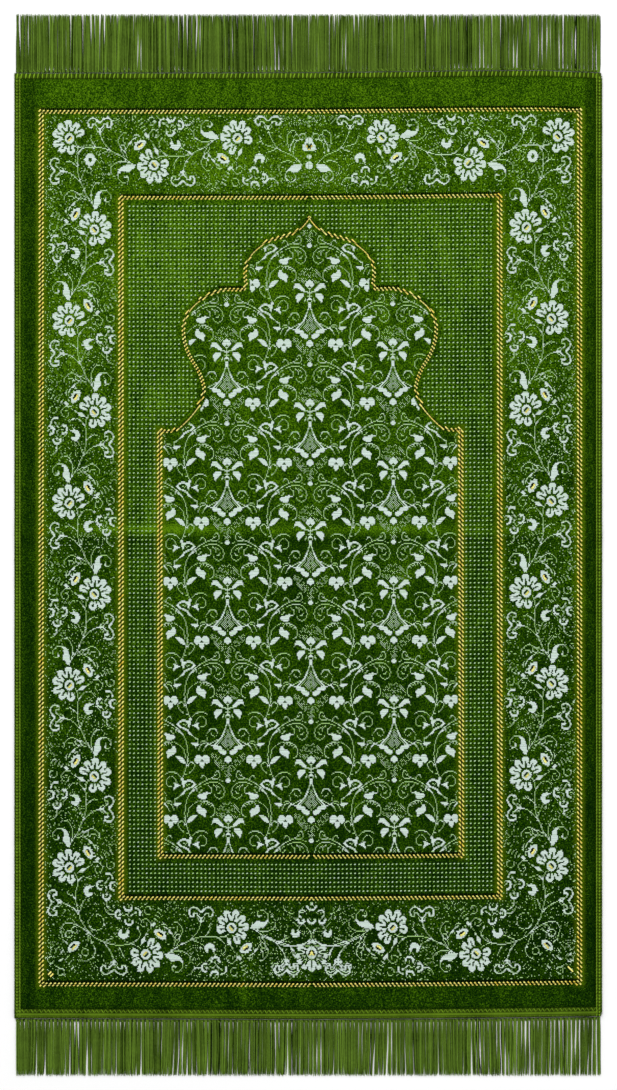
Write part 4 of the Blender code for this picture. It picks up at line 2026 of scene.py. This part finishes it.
@dataclass
class Edging:
    """The overlock edgings: a wrapped band with looping stitches on every side."""

    lay: Lay
    side_band: float = 7.3
    head_band: float = 6.3
    foot_band: float = 10.9
    side_pitch: float = 3.76
    end_pitch: float = 4.85

    def band(self, name: str, path: np.ndarray, inward: np.ndarray, width: float, finish: Finish) -> Piece:
        """Sweep the wrapped band round the cloth's margin.

        Args:
            name: The piece's name.
            path: The edge's points in mm.
            inward: The direction into the rug.
            width: The band's width.
            finish: Its material.

        Returns:
            The piece.
        """
        outline = [
            (0, 1.7), (0.25, 2.6), (1.0, 3.1), (2.4, 3.15), (width * 0.6, 3.1), (width - 0.7, 3.05),
            (width, 2.6),
        ]
        outline += [(width, 0.6), (width - 0.5, 0.15), (0.9, 0.15), (0.25, 0.7)]
        rings = len(outline)
        random = np.random.default_rng(8)
        rows = []
        for x, y in path:
            lift = float(self.lay.rise(np.array(x), np.array(y))) * 0.6
            jog = random.normal(0, 0.06)
            rows.append(
                [(x + inward[0] * (d + jog), y + inward[1] * (d + jog), z + lift) for d, z in outline]
            )
        points = np.array(rows).reshape(-1, 3)
        count = len(path)
        faces = []
        for r in range(count - 1):
            for i in range(rings):
                j = (i + 1) % rings
                faces.append((r * rings + i, r * rings + j, (r + 1) * rings + j, (r + 1) * rings + i))
        faces.append(tuple(reversed(range(rings))))
        faces.append(tuple(range((count - 1) * rings, count * rings)))
        mesh = make_mesh(name, points * MM, faces)
        along = path[-1] - path[0]
        if along[0] * inward[1] - along[1] * inward[0] > 0:
            mesh.flip_normals()
        mesh.shade_smooth()
        mesh.materials.append(finish)
        tag(mesh, "tint", np.full(len(points), 0.12))
        return add_object(name, mesh)

    def side_path(self, side: int) -> np.ndarray:
        """Return the outer line of a long side."""
        y = np.arange(-540.5, 540.6, 3.0)
        return np.stack([np.full(len(y), side * 339.7), y], -1)

    def end_path(self, top: bool) -> np.ndarray:
        """Lay out the outer line of an end.

        Args:
            top: Takes the arch end, or the foot end.

        Returns:
            The line's points.
        """
        x = np.arange(-339.6, 339.7, 3.0)
        base = 546.1 if top else -547.7
        edge = self.lay.top_edge if top else self.lay.bottom_edge
        return np.stack([x, base + self.lay.bow(x, np.full(len(x), edge))], -1)

    def side_stitches(self, side: int, finish: Finish) -> Piece:
        """Sew the stitches of a long side: two chains with slanted yarns round the edge.

        Args:
            side: -1 for the left side and 1 for the right one.
            finish: The edging yarn.

        Returns:
            The piece.
        """
        wires = Wires()
        random = np.random.default_rng(20 + side)
        pitch = self.side_pitch
        for y in np.arange(-543.0, 543.0, pitch):
            y = y + random.normal(0, 0.12)
            lift = float(self.lay.rise(np.array(side * 336.0), np.array(y))) * 0.6 + 3.05

            def at(inset: float, along: float, up: float) -> tuple[float, float, float]:
                """Return a point of the stitch."""
                return side * (339.7 - inset), y + along, lift + up

            pale = 0.78 + random.normal(0, 0.06)
            wires.add(
                [at(6.5, -1.75, 0.0), at(6.7, -0.6, 0.45), at(6.5, 0.6, 0.45), at(6.2, 1.9, 0.0)],
                [0.4, 0.62, 0.62, 0.4],
                pale,
            )
            wires.add(
                [at(3.1, -1.2, 0.1), at(3.2, 0.0, 0.5), at(3.1, 1.2, 0.1)], [0.5, 0.78, 0.5], pale + 0.1
            )
            wires.add([at(6.0, 1.0, 0.0), at(4.7, 0.3, 0.3), at(3.4, -0.4, 0.1)], [0.3, 0.42, 0.3], 0.4)
            wires.add(
                [at(2.6, 0.5, 0.1), at(1.4, 0.9, 0.15), at(0.4, 1.2, -0.5), at(0.05, 1.4, -1.4)],
                [0.4, 0.5, 0.5, 0.4],
                0.35,
            )
        return wires.spin(f"edging_stitches_{'left' if side < 0 else 'right'}", finish, 5)

    def head_stitches(self, finish: Finish) -> Piece:
        """Sew the slanted bars of the arch end and the fringe's chain above them.

        Args:
            finish: The edging yarn.

        Returns:
            The piece.
        """
        wires = Wires()
        random = np.random.default_rng(31)
        for x in np.arange(-336.0, 337.0, self.end_pitch):
            x = x + random.normal(0, 0.25)
            edge = 546.1 + float(self.lay.bow(np.array(x), np.array(self.lay.top_edge)))
            lean = random.normal(0.5, 0.25)
            pale = 0.85 + random.normal(0, 0.1)
            wires.add(
                [
                    (x - lean, edge - 6.1, 3.05), (x - lean * 0.4, edge - 4.2, 3.55),
                    (x + lean * 0.3, edge - 2, 3.5), (x + lean, edge - 0.5, 2.9),
                ],
                [0.45, 0.95, 0.95, 0.6],
                pale,
            )
            wires.add(
                [(x + 1.5, edge - 6, 3.0), (x + 2.4, edge - 3.4, 3.3), (x + 2.2, edge - 0.8, 2.9)],
                [0.5, 0.7, 0.5],
                0.22,
            )
        return wires.spin("edging_stitches_top", finish, 6)

    def foot_stitches(self, finish: Finish) -> Piece:
        """Sew the zigzag and the stay tape of the foot end.

        Args:
            finish: The edging yarn.

        Returns:
            The piece.
        """
        wires = Wires()
        random = np.random.default_rng(32)
        pitch = 5.1
        for x in np.arange(-336.0, 337.0, pitch):
            x = x + random.normal(0, 0.2)
            edge = -547.7 + float(self.lay.bow(np.array(x), np.array(self.lay.bottom_edge)))
            pale = 0.7 + random.normal(0, 0.08)
            wires.add(
                [(x, edge + 10.6, 3.0), (x + 1.2, edge + 8.8, 3.5), (x + 2.3, edge + 6.8, 3.0)],
                [0.35, 0.6, 0.35],
                pale,
            )
            wires.add(
                [(x + 2.3, edge + 6.8, 3.0), (x + 3.6, edge + 8.8, 3.5), (x + 5.0, edge + 10.6, 3.0)],
                [0.35, 0.5, 0.35],
                pale - 0.25,
            )
            wires.add([(x + 0.4, edge + 2.0, 3.1), (x + 1.6, edge + 1.9, 3.4)], [0.35, 0.35], 0.8)
            wires.add([(x + 2.6, edge + 1.9, 3.1), (x + 3.6, edge + 2.0, 3.4)], [0.3, 0.3], 0.55)
        x = np.arange(-337.0, 337.1, 3.0)
        edge = -547.7 + self.lay.bow(x, np.full(len(x), self.lay.bottom_edge))
        wires.add(np.stack([x, edge + 4.9, np.full(len(x), 2.75)], -1), 1.7, 0.45)
        wires.add(np.stack([x, edge + 2.6, np.full(len(x), 2.7)], -1), 0.8, 0.3)
        return wires.spin("edging_stitches_bottom", finish, 6)


@dataclass
class Fringe:
    """The sewn-on fringes: bunches of loose yarns, pinched where the heading holds them."""

    lay: Lay
    bunches: int = 140
    tip: float = 613.8
    heading: float = 5.0

    def build(self, top: bool, finish: Finish) -> Piece:
        """Lay out one fringe, yarn by yarn.

        Args:
            top: Whether it is the one at the arch end.
            finish: The fringe yarn.

        Returns:
            The piece.
        """
        random = np.random.default_rng(41 if top else 42)
        wires = Wires()
        sign = 1 if top else -1
        pitch = 676.0 / self.bunches
        edge_y = self.lay.top_edge if top else self.lay.bottom_edge
        sway = 0.0
        for i in range(self.bunches):
            middle = -338.0 + (i + 0.5) * pitch
            edge = edge_y + float(self.lay.bow(np.array(middle), np.array(edge_y))) + sign * 0.4
            sway = 0.8 * sway + random.normal(0, 0.45 if top else 0.6)
            pinch = random.uniform(0.5, 0.85) if (random.random() < (0.45 if top else 0.9)) else 1.05
            gappy = random.random() < (0.6 if not top and i > 112 else 0.16)
            shut = random.uniform(0.3, 0.6) if gappy else random.uniform(0, 0.07)
            slit = random.uniform(0.15, 0.95)
            for k in range(6):
                share = (k % 3 + 0.5 + 0.5 * (k // 3)) / 3.3 - 0.5
                lower = k >= 3
                spread = share * pitch * 1.04
                tip = sign * (self.tip + random.uniform(-1.0, 0.2) - (1.5 if lower else 0))
                length = tip - edge
                steps = np.array([0.0, 0.06, 0.14, 0.28, 0.42, 0.56, 0.7, 0.85, 1.0])
                wave = random.normal(0, 0.28) * np.sin(steps * random.uniform(3, 7) + random.uniform(0, 6))
                open_out = pinch + (1 - pinch) * np.clip(steps / (0.12 if top else 0.22), 0, 1)
                open_out = open_out - shut * np.exp(-(((steps - slit) / 0.3) ** 2))
                x = middle + spread * open_out + sway * steps**1.4 + wave * steps
                x = np.clip(x, -339.2, 339.2)
                y = edge + length * steps
                z = (0.75 if lower else 1.55) + 0.15 * np.sin(steps * 5 + k) + np.where(steps < 0.05, 0.4, 0)
                girth = np.full(len(steps), 0.62 if not lower else 0.7)
                girth[-1] = 0.4
                tint = (0.2 if lower else 0.52) + random.normal(0, 0.2)
                wires.add(np.stack([x, y, z], -1), girth, float(np.clip(tint, 0, 1)))
        self._heading(wires, top, random)
        return wires.spin(f"fringe_yarns_{'top' if top else 'bottom'}", finish, 4, 0.85)

    def _heading(self, wires: Wires, top: bool, random: np.random.Generator) -> None:
        """Crochet the chain that holds the bunches.

        Args:
            wires: Takes its yarns.
            top: Whether it is the one at the arch end.
            random: Gives its unevenness.
        """
        sign = 1 if top else -1
        edge_y = self.lay.top_edge if top else self.lay.bottom_edge
        x = np.arange(-338.0, 338.1, 3.0)
        edge = edge_y + self.lay.bow(x, np.full(len(x), edge_y))
        wires.add(np.stack([x, edge + sign * 1.0, np.full(len(x), 1.5)], -1), 0.75, 0.05)
        wires.add(np.stack([x, edge + sign * 2.6, np.full(len(x), 1.5)], -1), 0.75, 0.12)
        for middle in np.arange(-336.0, 336.5, 4.85):
            base = edge_y + float(self.lay.bow(np.array(middle), np.array(edge_y)))
            pale = 0.62 + random.normal(0, 0.1)
            path = [
                (middle + 1.3, base + sign * 0.6, 2.0), (middle, base + sign * 2.0, 2.3),
                (middle - 1.3, base + sign * 3.8, 1.9),
            ]
            if not top:
                path = [
                    (middle - 1.2, base - 1.6, 2.0), (middle, base - 2.6, 2.3),
                    (middle + 1.2, base - 3.8, 1.9),
                ]
            wires.add(path, [0.4, 0.62, 0.4], pale)


@dataclass
class Studio:
    """The pale floor, the soft light and the camera straight above."""

    height: float = 3.5017
    lens: float = 100.0

    def build(self) -> None:
        """Set up floor, world, lights and camera."""
        corners = [(-30, -30, 0), (30, -30, 0), (30, 30, 0), (-30, 30, 0)]
        floor = make_mesh("floor", np.array(corners), [(0, 1, 2, 3)])
        paint = Paint("floor_paint", Roughness=0.9)
        pale = paint.mix(paint.noise(3.0), shade(247, 247, 247), shade(250, 250, 250))
        floor.materials.append(paint.finish(pale))
        add_object("floor", floor)
        scene = bpy.context.scene
        scene.world = bpy.data.worlds.new("studio")
        scene.world.use_nodes = True
        sky = scene.world.node_tree.nodes["Background"]
        sky.inputs["Color"].default_value = (1, 1, 1, 1)
        sky.inputs["Strength"].default_value = 0.62
        self._lamp("key", (-0.7, 2.1, 2.6), 2.2, 62)
        self._lamp("fill", (1.4, -1.6, 3.0), 2.6, 30)
        data = bpy.data.cameras.new("camera")
        data.lens = self.lens
        data.sensor_width = 36
        data.dof.use_dof = False
        camera = bpy.data.objects.new("camera", data)
        camera.location = (0.0003, 0, self.height)
        scene.collection.objects.link(camera)
        scene.camera = camera
        scene.view_settings.view_transform = "Standard"

    def _lamp(self, name: str, place: tuple[float, float, float], size: float, power: float) -> None:
        """Hang a soft square lamp that faces the rug.

        Args:
            name: Its name.
            place: Its place in metres.
            size: The side of its panel.
            power: Its power in watts.
        """
        data = bpy.data.lights.new(name, "AREA")
        data.shape = "SQUARE"
        data.size = size
        data.energy = power
        lamp = bpy.data.objects.new(name, data)
        lamp.location = place
        x, y, z = place
        lamp.rotation_euler = (np.arctan2(hypot(x, y), z), 0, np.arctan2(x, -y))
        bpy.context.scene.collection.objects.link(lamp)


def main() -> None:
    """Build the rug piece by piece and report each one."""
    logging.basicConfig(level=logging.INFO, format="%(name)s: %(message)s")
    Studio().build()
    lay = Lay()
    weave = Weave()
    tuft, bar = unit_tuft(), unit_float()
    ivory = IvoryPile().make()
    gold_yarn = PlainYarn("gold_yarn", shade(246, 216, 80), shade(255, 252, 148), 0.7, 0.0, 0.1, 900).make()
    black_yarn = PlainYarn("black_yarn", shade(0, 1, 0), shade(16, 18, 2), 0.95, 0.0, 0.02).make()
    edging_yarn = PlainYarn("edging_yarn", shade(10, 28, 0), shade(122, 160, 36), 0.9, 0.0, 0.03).make()
    fringe_yarn = PlainYarn("fringe_yarn", shade(14, 34, 0), shade(122, 158, 54), 0.9, 0.0, 0.03, 700).make()

    cloth = VelvetCloth(lay).build(VelvetGround().make(), BackWeave().make())
    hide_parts("rug_cloth")
    pile = FigurePile(lay, weave)
    border, gold_cells, black_cells = weave.border()
    niche = weave.niche()
    left, upper = weave.u < 0, weave.v > 0
    figures = [
        pile.build("niche_figures_upper", niche & upper, tuft, ivory),
        pile.build("niche_figures_lower", niche & ~upper, tuft, ivory),
        pile.build("border_figures_left", border & left, tuft, ivory),
        pile.build("border_figures_right", border & ~left, tuft, ivory),
        pile.build("gold_flecks", gold_cells, tuft, gold_yarn),
        pile.build("black_flecks", black_cells, tuft, black_yarn),
        pile.build("field_dots", weave.dots(), tuft, ivory, 1.0),
    ]
    gold = GoldLines(lay, weave.frames)
    # The dark pickets on the level lines are painted shadow along each line's top side.
    figures += [gold.floats(bar, gold_yarn), gold.beds(black_yarn), gold.shadow_pickets(tuft, black_yarn)]
    edging = Edging(lay)
    bands = []
    for side, name in ((-1, "edging_left"), (1, "edging_right")):
        inward = np.array((-side, 0.0))
        band = edging.band(f"{name}_band", edging.side_path(side), inward, edging.side_band, edging_yarn)
        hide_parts(name)
        bands += [band, edging.side_stitches(side, edging_yarn)]
    ends = ((True, "edging_top", edging.head_band), (False, "edging_bottom", edging.foot_band))
    for top, name, width in ends:
        inward = np.array((0.0, -1.0 if top else 1.0))
        band = edging.band(f"{name}_band", edging.end_path(top), inward, width, edging_yarn)
        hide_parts(name)
        bands.append(band)
    bands += [edging.head_stitches(edging_yarn), edging.foot_stitches(edging_yarn)]
    fringe = Fringe(lay)
    fringes = []
    for top, name in ((True, "fringe_top"), (False, "fringe_bottom")):
        yarns = fringe.build(top, fringe_yarn)
        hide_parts(name)
        fringes.append(yarns)
    for helper in (tuft, bar):
        bpy.data.objects.remove(helper)

    for pieces, yarn in (([cloth, *figures], Yarn.PILE), (bands, Yarn.EDGING), (fringes, Yarn.FRINGE)):
        for piece in pieces:
            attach(piece, "root")
            log.info("%s: %d triangles", piece.name, sum(len(p.vertices) - 2 for p in piece.data.polygons))


if __name__ == "__main__":
    main()
